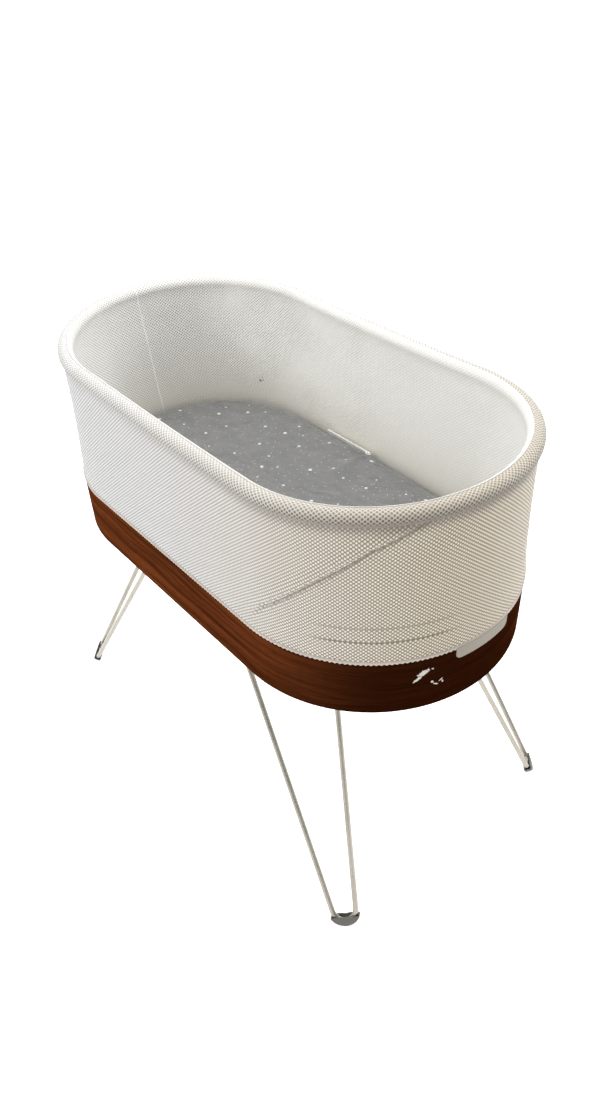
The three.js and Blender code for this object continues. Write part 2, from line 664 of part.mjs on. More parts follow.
// A solid layer of the oval whose edge leans from one offset to another
function loft(offset0, z0, offset1, z1) {
  const layer = slab(ovalShape(0), 0, 1);
  const { position } = layer.attributes;
  const point = new THREE.Vector3();
  const rim = STATIONS.map((station) => ovalPoint(station, 0));
  for (let i = 0; i < position.count; i += 1) {
    point.fromBufferAttribute(position, i);
    const nearest = rim.findIndex((place) => Math.hypot(place.x - point.x, place.y - point.y) < 0.01);
    const place = ovalPoint(STATIONS[nearest], point.z > 0.5 ? offset1 : offset0);
    position.setXYZ(i, place.x, place.y, point.z > 0.5 ? z1 : z0);
  }
  return toSolid(layer);
}

function swaddleClip(side) {
  const inner = HALF_WIDTH - MATTRESS_INSET + 0.5;
  const bottom = DECK_TOP - DECK_THICKNESS / 2;
  const top = DECK_TOP + CLIP.aboveDeck;
  const [x0, x1] = [CLIP.x - CLIP.length / 2, CLIP.x + CLIP.length / 2];
  const deckEdge = HALF_WIDTH - DECK_INSET + CLEARANCE;
  const piece = join(
    box(x0, x1, inner, inner + CLIP.thickness, bottom, top),
    box(x0, x1, inner - CLIP.lap, inner + 0.5, top - CLIP.thickness, top),
    box(x0, x1, deckEdge, inner + 0.5, bottom, bottom + 2),
  );
  return side > 0 ? piece : facingOut(mirrored(piece));
}

function mirrored(geometry) {
  return geometry.scale(1, -1, 1);
}

const RACE_TOP = ON_CHASSIS + BEARING.height;

function bearingInner() {
  return ringWall(BEARING.split - RUNNING, BEARING.inner, ON_CHASSIS + BEARING.lift, RACE_TOP + BEARING.lift);
}

function platformHub() {
  const bottom = RACE_TOP + BEARING.lift + CLEARANCE;
  const flange = UNDER_DECK - HUB.flangeThickness;
  return turned([[0, bottom], [HUB.radius, bottom], [HUB.radius, flange], [HUB.flange, flange],
    [HUB.flange, UNDER_DECK], [0, UNDER_DECK]], 32);
}

function crankPulley() {
  const { radius, flange, bottom, height, blind } = CRANK_PULLEY;
  const top = bottom + height;
  const bore = CRANK_AXLE.radius + RUNNING;
  const wheel = turned([[0, top - blind], [bore, top - blind], [bore, bottom], [flange, bottom],
    [flange, bottom + 1.6], [radius, bottom + 1.6], [radius, BELT.bottom + BELT.height + 0.6],
    [flange, BELT.bottom + BELT.height + 0.6], [flange, top], [0, top]], 32);
  const pinTop = YOKE.bottom + YOKE.depth - 1.5;
  return join(wheel, upright(CRANK_PIN, top - 1, pinTop, CRANK_THROW, 0, 20)).translate(CRANK_X, 0, 0);
}

function crankAxle() {
  const flangeTop = ON_CHASSIS + CRANK_AXLE.flangeThickness;
  const top = CRANK_PULLEY.bottom + CRANK_PULLEY.height - CRANK_PULLEY.blind - RUNNING;
  return turned([[0, ON_CHASSIS], [CRANK_AXLE.flange, ON_CHASSIS], [CRANK_AXLE.flange, flangeTop],
    [CRANK_AXLE.radius, flangeTop], [CRANK_AXLE.radius, top], [0, top]], 24).translate(CRANK_X, 0, 0);
}

function yokeBlock() {
  const { length, width, bottom, play, depth } = YOKE;
  const slotHalf = CRANK_PIN + play;
  return cut(
    box(CRANK_X - length / 2, CRANK_X + length / 2, -width / 2, width / 2, bottom, UNDER_DECK),
    box(CRANK_X - slotHalf, CRANK_X + CRANK_THROW + slotHalf, -slotHalf, slotHalf, bottom - 1, bottom + depth),
  );
}

function motorHousing() {
  const bottom = MOTOR_PLATE.bottom + MOTOR_PLATE.thickness + CLEARANCE;
  const top = bottom + MOTOR.height;
  const bore = MOTOR.shaft + RUNNING;
  return turned([[0, bottom + MOTOR.boreDepth], [bore, bottom + MOTOR.boreDepth], [bore, bottom],
    [MOTOR.radius, bottom], [MOTOR.radius, top - 2], [MOTOR.radius - 2, top], [0, top]], 32)
    .translate(MOTOR.x, MOTOR.y, 0);
}

function motorPulley() {
  const bottom = BELT.bottom - 2;
  const beltTop = BELT.bottom + BELT.height + 0.6;
  const shaftTop = MOTOR_PLATE.bottom + MOTOR_PLATE.thickness + MOTOR.boreDepth - RUNNING;
  const { radius, flange, height } = MOTOR_PULLEY;
  return turned([[0, bottom], [flange, bottom], [flange, BELT.bottom - 0.6], [radius, BELT.bottom - 0.6],
    [radius, beltTop], [flange, beltTop], [flange, bottom + height], [MOTOR.shaft, bottom + height],
    [MOTOR.shaft, shaftTop], [0, shaftTop]], 20).translate(MOTOR.x, MOTOR.y, 0);
}

// The bracket stands on two feet beside the belt's run
function motorBracket() {
  const { thickness, bottom, half, foot } = MOTOR_PLATE;
  const run = Math.atan2(-MOTOR.y, CRANK_X - MOTOR.x);
  const plate = box(-half, half, -half, half, bottom, bottom + thickness);
  const feet = [-half, half - foot].map((y) => box(-half, half, y, y + foot, ON_CHASSIS, bottom + 1));
  return cut(join(plate, ...feet), upright(MOTOR_PULLEY.radius, bottom - 1, bottom + thickness + 1, 0, 0, 24))
    .rotateZ(run).translate(MOTOR.x, MOTOR.y, 0);
}

// Belt outline: tangents to both pulleys and an arc round each
function beltOutline(extra) {
  const [large, small] = [CRANK_PULLEY.radius + extra, MOTOR_PULLEY.radius + extra];
  const span = Math.hypot(CRANK_X - MOTOR.x, MOTOR.y);
  const run = Math.atan2(MOTOR.y, MOTOR.x - CRANK_X);
  const wrap = Math.acos((large - small) / span);
  const shape = new THREE.Shape();
  shape.absarc(CRANK_X, 0, large, run + wrap, run - wrap + 2 * Math.PI);
  shape.absarc(MOTOR.x, MOTOR.y, small, run - wrap, run + wrap);
  return shape;
}

function driveBelt() {
  return cut(
    slab(beltOutline(CLEARANCE + BELT.thickness), BELT.bottom, BELT.bottom + BELT.height, 10),
    slab(beltOutline(CLEARANCE), BELT.bottom - 1, BELT.bottom + BELT.height + 1, 10),
  );
}

// ---- electronics ----------------------------------------------------------------------------

function speaker() {
  const { radius, magnet, height } = SPEAKER;
  const top = ON_CHASSIS + height;
  return turned([[0, ON_CHASSIS], [magnet, ON_CHASSIS], [magnet, ON_CHASSIS + 11], [magnet + 2, ON_CHASSIS + 13],
    [radius - 5, top - 4], [radius, top - 4], [radius, top], [radius - 6, top], [12, top - 10], [0, top - 7]], 32)
    .translate(SPEAKER.x, 0, 0);
}

function controlBoard() {
  const { x, sideInset, length, width, thickness, lift } = BOARD;
  const bottom = ON_CHASSIS + lift;
  const posts = [[-1, -1], [-1, 1], [1, -1], [1, 1]].map(([sx, sy]) =>
    upright(2.5, ON_CHASSIS, bottom + 0.5, sx * (length / 2 - 5), sy * (width / 2 - 5), 12));
  return join(
    box(-length / 2, length / 2, -width / 2, width / 2, bottom, bottom + thickness),
    ...posts,
    box(-12, 12, -12, 12, bottom + thickness - 0.5, bottom + thickness + 2),
    box(25, 42, -20, 15, bottom + thickness - 0.5, bottom + thickness + 9),
    box(-40, -26, -8, 20, bottom + thickness - 0.5, bottom + thickness + 6),
  ).translate(x, sideInset - HALF_WIDTH, 0);
}

function microphone(side) {
  const outer = HALF_WIDTH + PAN_OFFSET - PAN_WALL - CLEARANCE;
  return upright(MICROPHONE.radius, outer - MICROPHONE.length, outer, 0, 0, 16)
    .rotateX(-Math.PI / 2 * side).translate(MICROPHONE.x, 0, MICROPHONE.height);
}

function lightRing() {
  const face = -BAND_END_X - 0.3;
  const ring = alongX(BUTTON.ringRadius, face, face + BAND_WALL + 1, 0, BUTTON.height);
  return cut(ring, alongX(BUTTON.radius + RUNNING, face - 1, face + BAND_WALL + 2, 0, BUTTON.height));
}

function controlButton() {
  const face = -BAND_END_X - END_STEP;
  return join(
    alongX(BUTTON.radius, face, face + BUTTON.depth, 0, BUTTON.height),
    alongX(BUTTON.radius - 4, face + BUTTON.depth - 1, face + BUTTON.depth + 4, 0, BUTTON.height, 24),
  );
}

// ---- assembly -------------------------------------------------------------------------------

const bassinet = new THREE.Group();

function add(name, geometry, finish, parent = bassinet) {
  const mesh = new THREE.Mesh(geometry, material(...finish));
  mesh.name = name;
  parent.add(mesh);
  return mesh;
}

add('band_veneer', bandVeneer(), WOOD);
add('base_pan', basePan(), WHITE_PLASTIC);
add('chassis_plate', chassisPlate(), STEEL);
add('hem_ring', hemRing(), WHITE_PLASTIC);

for (const frame of FRAMES) {
  add(`leg_${frame.name}`, leg(frame), STEEL);
  add(`foot_cap_${frame.name}`, footCap(frame), RUBBER);
  add(`leg_socket_${frame.name}`, legSocket(frame), ALUMINIUM);
  add(`leg_latch_${frame.name}`, legLatch(frame), DARK_PLASTIC);
}

SCREW_POINTS.forEach(([x, y], i) => add(`base_screw_${i + 1}`, baseScrew(x, y), STEEL));

add('rim_hoop', rimHoop(), STEEL);
add('rim_sleeve', rimSleeve(), FOAM);
add('outer_mesh', outerMesh(), MESH_FABRIC);
add('inner_liner', innerLiner(), LINER_FABRIC);
add('label_tab', labelTab(), TAB_SILICONE);
for (const [place, station] of Object.entries(POST_STATIONS)) {
  add(`wall_post_${place}`, wallPost(station), STEEL);
}

add('platform_deck', slab(ovalShape(-DECK_INSET), DECK_HEIGHT, DECK_TOP), PLYWOOD);
add('platform_hub', platformHub(), ALUMINIUM);
add('mattress', mattress(), SHEET);
add('swaddle_clip_right', swaddleClip(1), WHITE_PLASTIC);
add('swaddle_clip_left', swaddleClip(-1), WHITE_PLASTIC);
add('bearing_outer', ringWall(BEARING.outer, BEARING.split, ON_CHASSIS, RACE_TOP), STEEL);
add('bearing_inner', bearingInner(), STEEL);

add('drive_motor', motorHousing(), DARK_PLASTIC);
add('motor_bracket', motorBracket(), STEEL);
add('motor_pulley', motorPulley(), ALUMINIUM);
add('drive_belt', driveBelt(), DARK_PLASTIC);
add('crank_pulley', crankPulley(), ALUMINIUM);
add('crank_axle', crankAxle(), STEEL);
add('yoke_block', yokeBlock(), WHITE_PLASTIC);

add('speaker', speaker(), DARK_PLASTIC);
add('control_board', controlBoard(), CIRCUIT);
add('microphone_right', microphone(1), DARK_PLASTIC);
add('microphone_left', microphone(-1), DARK_PLASTIC);
add('light_ring', lightRing(), LENS);
add('control_button', controlButton(), WHITE_PLASTIC);
add('power_inlet', powerInlet(), DARK_PLASTIC);

export default bassinet;
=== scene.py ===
"""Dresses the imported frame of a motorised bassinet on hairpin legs.

Units are metres. The origin is on the floor under the middle of the body, +X points to the foot
end and +Y to the right-hand side. Pieces that go round the oval body are modelled flat, as a
strip whose x is the way round, y is outwards and z is height, and are then bent round it.
"""

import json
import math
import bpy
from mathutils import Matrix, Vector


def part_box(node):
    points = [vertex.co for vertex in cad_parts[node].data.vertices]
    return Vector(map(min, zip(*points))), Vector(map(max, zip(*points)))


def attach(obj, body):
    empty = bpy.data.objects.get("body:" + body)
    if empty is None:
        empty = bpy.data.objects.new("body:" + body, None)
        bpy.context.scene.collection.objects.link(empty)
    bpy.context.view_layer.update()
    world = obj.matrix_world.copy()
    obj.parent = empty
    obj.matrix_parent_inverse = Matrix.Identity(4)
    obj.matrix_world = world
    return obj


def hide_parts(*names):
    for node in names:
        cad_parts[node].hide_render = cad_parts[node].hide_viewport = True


bl_info = {
    "name": "Bassinet on hairpin legs",
    "version": (1, 0, 0),
    "blender": (4, 5, 0),
    "location": "3D View > Sidebar > Bassinet",
    "description": "Builds the visible pieces of a motorised bassinet round its packed frame",
    "category": "Object",
}

import bmesh
import bpy
from mathutils import Matrix, Vector, noise

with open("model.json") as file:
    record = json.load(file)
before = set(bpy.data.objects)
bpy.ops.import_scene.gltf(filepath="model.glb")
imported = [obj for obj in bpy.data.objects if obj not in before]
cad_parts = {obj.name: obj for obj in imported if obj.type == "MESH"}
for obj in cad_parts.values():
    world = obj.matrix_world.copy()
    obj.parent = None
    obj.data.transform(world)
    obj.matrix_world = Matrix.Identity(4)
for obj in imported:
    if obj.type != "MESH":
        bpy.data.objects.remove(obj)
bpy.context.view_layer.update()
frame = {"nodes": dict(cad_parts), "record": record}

# ---- places that come from the frame ----------------------------------------------------------

HOOP_RADIUS = 0.006
SIDE = 0.2165  # half length of a straight side
BAND_LOW, BAND_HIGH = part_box("band_veneer")
HOOP_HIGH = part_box("rim_hoop")[1]
RIM_LENGTH = HOOP_HIGH.x - HOOP_RADIUS
RIM_WIDTH = HOOP_HIGH.y - HOOP_RADIUS
END = RIM_LENGTH - SIDE  # depth of a rounded end at the rim's centre line
BAND_OFFSET = BAND_HIGH.y - RIM_WIDTH
BAND_BOTTOM, BAND_TOP = BAND_LOW.z, BAND_HIGH.z
QUARTER = math.pi / 4 * (END + RIM_WIDTH)
AROUND = 4 * (QUARTER + SIDE)  # the whole way round at the rim's centre line

RIM_RADIUS = 0.0125
RIM_RISE = 0.012  # how much higher the rim stands at its two ends
RIM_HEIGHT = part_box("outer_mesh")[1].z - RIM_RADIUS - RIM_RISE
RISE_START = 0.56  # the height from which the walls share in that rise
WALL_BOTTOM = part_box("outer_mesh")[0].z
DECK_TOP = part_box("platform_deck")[1].z
MATTRESS_LOW, MATTRESS_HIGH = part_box("mattress")
MATTRESS_OFFSET = MATTRESS_HIGH.y - RIM_WIDTH

QUADRANTS = {
    "foot_right": (1, 1),
    "foot_left": (1, -1),
    "head_right": (-1, 1),
    "head_left": (-1, -1),
}


# ---- sizes and colours that a user would change --------------------------------------------------


def linear(code):
    """An sRGB hex colour as linear red, green and blue."""
    parts = [int(code[i : i + 2], 16) / 255 for i in (0, 2, 4)]
    return tuple(p / 12.92 if p <= 0.04045 else ((p + 0.055) / 1.055) ** 2.4 for p in parts)


def length(name, about, default, most=1.0):
    return bpy.props.FloatProperty(
        name=name, description=about, default=default, min=0.0, max=most, unit="LENGTH"
    )


def colour(name, about, code):
    return bpy.props.FloatVectorProperty(
        name=name, description=about, default=linear(code), size=3, min=0, max=1, subtype="COLOR"
    )


class BassinetSizes(bpy.types.PropertyGroup):
    hole_pitch: length("Hole pitch", "Between holes of one row of the spacer mesh", 0.0067, 0.02)
    hole_rise: length("Hole rise", "Between holes one above another in the spacer mesh", 0.0057, 0.02)
    hole_radius: length("Hole radius", "Of a hole in the spacer mesh", 0.0016, 0.01)
    mesh_thickness: length("Mesh thickness", "Of the outer spacer mesh", 0.0018, 0.01)
    liner_thickness: length("Liner thickness", "Of the inner knitted liner", 0.0008, 0.01)
    sheet_thickness: length("Sheet thickness", "Of the fitted jersey sheet", 0.0006, 0.005)
    rod_radius: length("Rod radius", "Of a hairpin leg's rod", 0.00475, 0.02)
    bend_radius: length("Bend radius", "Of a leg's bend, to the rod's centre", 0.0203, 0.1)
    cap_radius: length("Cap radius", "Of a foot cap, from the bend's centre", 0.0285, 0.1)
    veneer_edge: length("Veneer edge", "Rounding of the wood band's edges", 0.0016, 0.004)


class BassinetColours(bpy.types.PropertyGroup):
    walnut: colour("Walnut", "Veneer between its dark figure", "5E3017")
    walnut_dark: colour("Walnut figure", "Dark bands of the veneer", "3A1B0B")
    mesh: colour("Mesh yarn", "Yarn of the outer spacer mesh", "959595")
    mesh_hole: colour("Mesh backing", "What a hole shows against white foam", "DCDCDC")
    # painted shade: the yarn's colour towards the foot end
    mesh_bare: colour("Bare mesh yarn", "Yarn where no foam stands behind it", "83775F")
    # painted shade that the holes show on the roll and in the crease
    mesh_dark: colour("Mesh shadow", "What a hole shows where nothing is behind", "4A423B")
    liner: colour("Liner", "Knitted inner liner", "F2F1ED")
    jersey: colour("Sheet", "Heather grey jersey", "757574")
    rubber: colour("Foot cap", "Grey rubber of the feet", "5C5A54")
    plastic: colour("White plastic", "Moulded white parts", "ECEBE7")
    silicone: colour("Tab", "Silicone tab on the band", "857C6E")


# ---- helpers for meshes --------------------------------------------------------------------------


def sizes():
    return bpy.context.scene.bassinet_sizes


def colours():
    return bpy.context.scene.bassinet_colours


def clamped(share):
    return min(max(share, 0), 1)


def plan(way, out):
    """The place in plan at a distance round the rim from the foot end's middle, and outwards."""
    turn = 1 if way >= 0 else -1
    left = abs(way)
    if QUARTER < left < QUARTER + 2 * SIDE:
        return SIDE - (left - QUARTER), turn * (RIM_WIDTH + out)
    end = 1 if left <= QUARTER else -1
    past = left if end > 0 else left - 2 * SIDE
    angle = past / QUARTER * math.pi / 2
    return end * SIDE + (END + out) * math.cos(angle), turn * (RIM_WIDTH + out) * math.sin(angle)


def lift(x, z):
    """How far the rim's rise at the two ends lifts a point."""
    lean = clamped((z - RISE_START) / (RIM_HEIGHT - RIM_RADIUS - RISE_START))
    return RIM_RISE * (x / (RIM_LENGTH + RIM_RADIUS)) ** 2 * lean


def arc(radius, first, last, steps, centre=(0.0, 0.0)):
    """Points on an arc, by degrees from outwards through up."""
    angles = [math.radians(first + (last - first) * i / steps) for i in range(steps + 1)]
    return [(centre[0] + radius * math.cos(a), centre[1] + radius * math.sin(a)) for a in angles]


def verts_of(geometry):
    return [part for part in geometry if isinstance(part, bmesh.types.BMVert)]


def strip(section, columns, closed=False, first=-AROUND / 2, last=AROUND / 2):
    """A flat strip of the section, drawn as (outwards, height) points, with its UVs in metres."""
    bm = bmesh.new()
    across = bm.verts.layers.float.new("across")
    row = [bm.verts.new((first, out, z)) for out, z in section]
    row[0][across] = section[0][1]
    for before, vert in zip(row, row[1:]):
        vert[across] = before[across] + (vert.co - before.co).length
    edges = [bm.edges.new(pair) for pair in zip(row, row[1:])]
    if closed:
        edges.append(bm.edges.new((row[-1], row[0])))
    made = bmesh.ops.extrude_edge_only(bm, edges=edges)["geom"]
    bmesh.ops.translate(bm, verts=verts_of(made), vec=(last - first, 0, 0))
    long_edges = [e for e in bm.edges if abs(e.verts[0].co.x - e.verts[1].co.x) > 1e-6]
    bmesh.ops.subdivide_edges(bm, edges=long_edges, cuts=columns - 1, use_grid_fill=True)
    uv = bm.loops.layers.uv.new("Cloth")
    for face in bm.faces:
        for loop in face.loops:
            loop[uv].uv = (loop.vert.co.x, loop.vert[across])
    return bm


def bend_round(bm):
    """Bends a flat strip round the oval and joins its ends."""
    for vert in bm.verts:
        way, out, z = vert.co
        x, y = plan(way, out)
        vert.co = (x, y, z + lift(x, z))
    bmesh.ops.remove_doubles(bm, verts=bm.verts, dist=1e-5)
    bmesh.ops.recalc_face_normals(bm, faces=bm.faces)


def oval_disc(out, z, segments):
    """A flat face of the oval's shape."""
    bm = bmesh.new()
    bmesh.ops.create_circle(bm, cap_ends=True, segments=segments, radius=1)
    for vert in bm.verts:
        way = math.atan2(vert.co.y, vert.co.x) / math.tau * AROUND
        vert.co = (*plan(way, out), z)
    return bm


def rounded(bm, edges, offset, segments=3):
    bmesh.ops.bevel(
        bm, geom=edges, offset=offset, segments=segments, affect="EDGES", profile=0.5, material=-1
    )


def level_ring(bm, centre, radius, thick, segments, steps):
    """A closed ring of round section, lying level round its centre."""
    place = Matrix.Translation(centre + Vector((radius, 0, 0))) @ Matrix.Rotation(math.pi / 2, 4, "X")
    circle = bmesh.ops.create_circle(bm, cap_ends=False, segments=segments, radius=thick, matrix=place)
    verts = circle["verts"]
    edges = list({e for v in verts for e in v.link_edges})
    bmesh.ops.spin(
        bm, geom=verts + edges, cent=centre, axis=(0, 0, 1), angle=math.tau, steps=steps, use_merge=True
    )


def everything(bm):
    return bm.verts[:] + bm.edges[:] + bm.faces[:]


def sharp_edges(bm, angle=math.radians(40)):
    return [e for e in bm.edges if len(e.link_faces) == 2 and e.calc_face_angle() > angle]


def outwards(bm):
    """Turns the faces of an open wall away from the middle of the body."""
    total = 0
    for face in bm.faces:
        x, y, _ = face.calc_center_median()
        total += face.calc_area() * face.normal.dot(Vector((x / 4, y, 0)))  # the long sides decide
    if total < 0:
        bmesh.ops.reverse_faces(bm, faces=bm.faces)


def piece(name, bm, body, slot, replaced=(), material=None, crease=50):
    """Makes the object of a finished mesh and says what it rides on and stands for. Its material
    is the slot's shared finish unless it has its own."""
    mesh = bpy.data.meshes.new(name)
    bm.to_mesh(mesh)
    bm.free()
    mesh.shade_smooth()
    mesh.set_sharp_from_angle(angle=math.radians(crease))
    made = bpy.data.objects.new(name, mesh)
    bpy.context.scene.collection.objects.link(made)
    mesh.materials.append(material or FINISHES[slot])
    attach(made, body)
    if replaced:
        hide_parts(*replaced)
    return made


def thicken(made, thickness, side=-1):
    """Gives a sheet its thickness: -1 puts it behind the faces, 1 in front."""
    solid = made.modifiers.new("Thickness", "SOLIDIFY")
    solid.thickness = thickness
    solid.offset = side
    solid.use_even_offset = True


def line_distance(x, z, points):
    """Signed distance from a run of straight lines: above it is positive."""
    best = None
    for (x0, z0), (x1, z1) in zip(points, points[1:]):
        along = Vector((x1 - x0, z1 - z0))
        arm = Vector((x - x0, z - z0))
        share = clamped(arm.dot(along) / along.length_squared)
        miss = (arm - along * share).length
        if best is None or miss < abs(best):
            best = math.copysign(miss, along.x * arm.y - along.y * arm.x)
    return best


def bump(distance, width):
    return math.exp(-((distance / width) ** 2))


# ---- helpers for materials -----------------------------------------------------------------------

# Mix: 0 is the share of the second colour, 6 and 7 are the colours
COLOURS = {"data_type": "RGBA", "output": 2}
# Map Range: 0 is the value, 1 and 2 the range it comes from, 3 and 4 the range it goes to
SMOOTH = {"interpolation_type": "SMOOTHSTEP"}


def add(tree, kind, inputs=(), output=0, **settings):
    """Adds a node and returns one of its outputs. Inputs map its sockets to values, to colours or
    to the outputs that feed them."""
    made = tree.nodes.new("ShaderNode" + kind)
    for key, value in settings.items():
        setattr(made, key, value)
    for key, value in dict(inputs).items():
        if isinstance(value, bpy.types.NodeSocket):
            tree.links.new(value, made.inputs[key])
        else:
            colour_socket = made.inputs[key].type == "RGBA"
            made.inputs[key].default_value = rgba(value) if colour_socket else value
    return made.outputs[output]


def start(name, **sockets):
    """A new material with its shader; values that are the same all over go on the shader."""
    material = bpy.data.materials.new(name)
    material.use_nodes = True
    tree = material.node_tree
    shader = tree.nodes["Principled BSDF"]
    for key, value in sockets.items():
        shader.inputs[key.replace("_", " ")].default_value = value
    return material, tree, shader


def surface(tree, shader, tone, relief, depth, gloss=None):
    """Feeds the shader its colour and its relief, whose real depth is in metres, and its gloss."""
    tree.links.new(tone, shader.inputs["Base Color"])
    normal = add(tree, "Bump", {"Height": relief, "Distance": depth})
    tree.links.new(normal, shader.inputs["Normal"])
    if gloss is not None:
        tree.links.new(gloss, shader.inputs["Roughness"])


def rgba(value):
    return (*(linear(value) if isinstance(value, str) else value), 1)


def shade(value, factor):
    return tuple(min(part * factor, 1) for part in rgba(value)[:3])


def mottle(tree, place, scale, detail=2.0, stretch=(1, 1, 1), roughness=0.5, shift=(0, 0, 0)):
    """Uneven grain whose scale is lumps per metre, stretched along each axis."""
    moved = add(tree, "Mapping", {0: place, 1: shift, 3: stretch})
    grain = {"Vector": moved, "Scale": scale, "Detail": detail, "Roughness": roughness}
    return add(tree, "TexNoise", grain)


def gap(tree, value, middle):
    """How far a value is from another, either way."""
    past = add(tree, "Math", {0: value, 1: middle}, operation="SUBTRACT")
    return add(tree, "Math", {0: past}, operation="ABSOLUTE")


# ---- materials -----------------------------------------------------------------------------------


def plain(name, base, rough, grain, relief, contrast=0.1, stretch=(1, 1, 1), **sockets):
    """A rigid finish: fine grain in its colour, its gloss and its relief. Grain is in metres."""
    material, tree, shader = start(name, **sockets)
    place = add(tree, "TexCoord", output="Object")
    fine = mottle(tree, place, 1 / grain, 3, stretch)
    broad = mottle(tree, place, 9, 2)
    worn = add(tree, "Math", {0: fine, 1: broad}, operation="MULTIPLY")
    share = add(tree, "MapRange", {0: worn, 1: 0.12, 2: 0.42}, **SMOOTH)
    tones = {0: share, 6: shade(base, 1 - contrast), 7: shade(base, 1 + contrast)}
    gloss = {0: broad, 1: 0.3, 2: 0.7, 3: rough * 0.85, 4: rough * 1.15}
    gloss = add(tree, "MapRange", gloss, **SMOOTH)
    surface(tree, shader, add(tree, "Mix", tones, **COLOURS), fine, relief, gloss)
    return material


VENEER_SHADE_MIDDLE = -0.06  # the middle of the painted shade on the band, round from the foot end
CHIPS = [  # way round, height, half length, half height and turn of each worn spot
    (-0.0975, 0.5165, 0.0096, 0.0042, 0.55),
    (-0.1050, 0.5065, 0.0080, 0.0025, 0.75),
    (-0.0850, 0.5210, 0.0018, 0.0013, 0.0),
    (-0.0840, 0.4945, 0.0018, 0.0028, 0.2),
    (-0.0785, 0.4880, 0.0044, 0.0013, -0.5),
    (-0.0715, 0.4935, 0.0036, 0.0012, 0.7),
    (-0.0685, 0.4895, 0.0012, 0.0024, 0.0),
]


def walnut_veneer():
    """Walnut veneer, sliced, pressed round the band and oiled: long brown figure with darker
    bands, short dark pores, dull all over, and painted shade round the foot end."""
    material, tree, shader = start("oiled_walnut_veneer", Specular_IOR_Level=0.0)
    place = add(tree, "UVMap", uv_map="Cloth")
    wave = mottle(tree, place, 3, 2, (1, 3, 1))
    drift = add(tree, "VectorMath", {0: wave, 3: 0.05}, operation="SCALE")
    grain = add(tree, "VectorMath", {0: place, 1: drift}, operation="ADD")
    bands = mottle(tree, grain, 1, 3, (2.2, 75, 1), 0.55)
    fibre = mottle(tree, grain, 1, 3, (14, 620, 1), 0.6)
    pores = mottle(tree, grain, 1, 1, (55, 1300, 1), 0.5, (3, 7, 0))
    figure = add(tree, "MapRange", {0: bands, 1: 0.36, 2: 0.64}, **SMOOTH)
    tones = {0: figure, 6: colours().walnut_dark, 7: colours().walnut}
    tone = add(tree, "Mix", tones, **COLOURS)
    patches = add(tree, "MapRange", {0: mottle(tree, place, 2.5, 2), 1: 0.35, 2: 0.7}, **SMOOTH)
    warm = add(tree, "Mix", {0: patches, 6: tone, 7: "68361A"}, **COLOURS)
    tone = add(tree, "Mix", {0: 0.35, 6: tone, 7: warm}, **COLOURS)
    way = add(tree, "SeparateXYZ", {0: place}, "X")
    # painted shade: the band turns near black round the foot end, which faces away from the light
    veneer_shade = {0: gap(tree, way, VENEER_SHADE_MIDDLE), 1: 0.08, 2: 0.32, 3: 0.9, 4: 0.0}
    veneer_shade = add(tree, "MapRange", veneer_shade, **SMOOTH)
    tone = add(tree, "Mix", {0: veneer_shade, 6: tone, 7: "1E0903"}, **COLOURS)
    streak = add(tree, "MapRange", {0: fibre, 1: 0.3, 2: 0.7, 3: 0.72, 4: 1.22}, **SMOOTH)
    tone = add(tree, "VectorMath", {0: tone, 3: streak}, operation="SCALE")
    pore = add(tree, "MapRange", {0: pores, 1: 0.60, 2: 0.70}, **SMOOTH)
    faint = add(tree, "Math", {0: pore, 1: 0.55}, operation="MULTIPLY")
    tone = add(tree, "Mix", {0: faint, 6: tone, 7: "1E0F08"}, **COLOURS)
    chips = chipped(tree, place)
    tone = add(tree, "Mix", {0: chips, 6: tone, 7: "C4BFB6"}, **COLOURS)
    rough = add(tree, "MapRange", {0: fibre, 1: 0.3, 2: 0.7, 3: 0.36, 4: 0.5}, **SMOOTH)
    worn = add(tree, "Math", {0: chips, 1: 0.4, 2: rough}, operation="MULTIPLY_ADD")
    sunk = add(tree, "Math", {0: pore, 1: chips}, operation="MAXIMUM")
    relief = add(tree, "Math", {0: fibre, 1: sunk}, operation="SUBTRACT")
    surface(tree, shader, tone, relief, 0.00012, worn)
    return material


def chipped(tree, place):
    """Where the finish has chipped off near the foot end: ragged spots, 1 inside them."""
    ragged = mottle(tree, place, 380, 3, shift=(2, 5, 0))
    shares = 0.0
    for way, height, long_half, high_half, turn in CHIPS:
        spot = {0: place, 1: (way, height, 0), 2: (0, 0, turn), 3: (long_half, high_half, 1)}
        local = add(tree, "Mapping", spot, vector_type="TEXTURE")
        away = add(tree, "VectorMath", {0: local}, 1, operation="LENGTH")
        edge = add(tree, "Math", {0: ragged, 1: 1.9, 2: away}, operation="MULTIPLY_ADD")
        inside = add(tree, "MapRange", {0: edge, 1: 1.85, 2: 1.95, 3: 1.0, 4: 0.0}, **SMOOTH)
        shares = add(tree, "Math", {0: shares, 1: inside}, operation="MAXIMUM")
    return shares


def mesh_holes():
    """How many holes one row of the spacer mesh has, all the way round the rim."""
    return round(AROUND / sizes().hole_pitch)


def hole_distance(tree, place):
    """Distance from the nearest hole of staggered rows, in metres."""
    cell = (AROUND / mesh_holes(), sizes().hole_rise, 1)
    nearest = []
    for shift in ((0, 0, 0), (cell[0] / 2, cell[1] / 2, 0)):
        moved = add(tree, "VectorMath", {0: place, 1: shift}, operation="ADD")
        cells = add(tree, "VectorMath", {0: moved, 1: cell}, operation="DIVIDE")
        inside = add(tree, "VectorMath", {0: cells}, operation="FRACTION")
        centred = add(tree, "VectorMath", {0: inside, 1: (0.5, 0.5, 0)}, operation="SUBTRACT")
        real = add(tree, "VectorMath", {0: centred, 1: cell}, operation="MULTIPLY")
        nearest.append(add(tree, "VectorMath", {0: real}, 1, operation="LENGTH"))
    return add(tree, "Math", {0: nearest[0], 1: nearest[1]}, operation="MINIMUM")


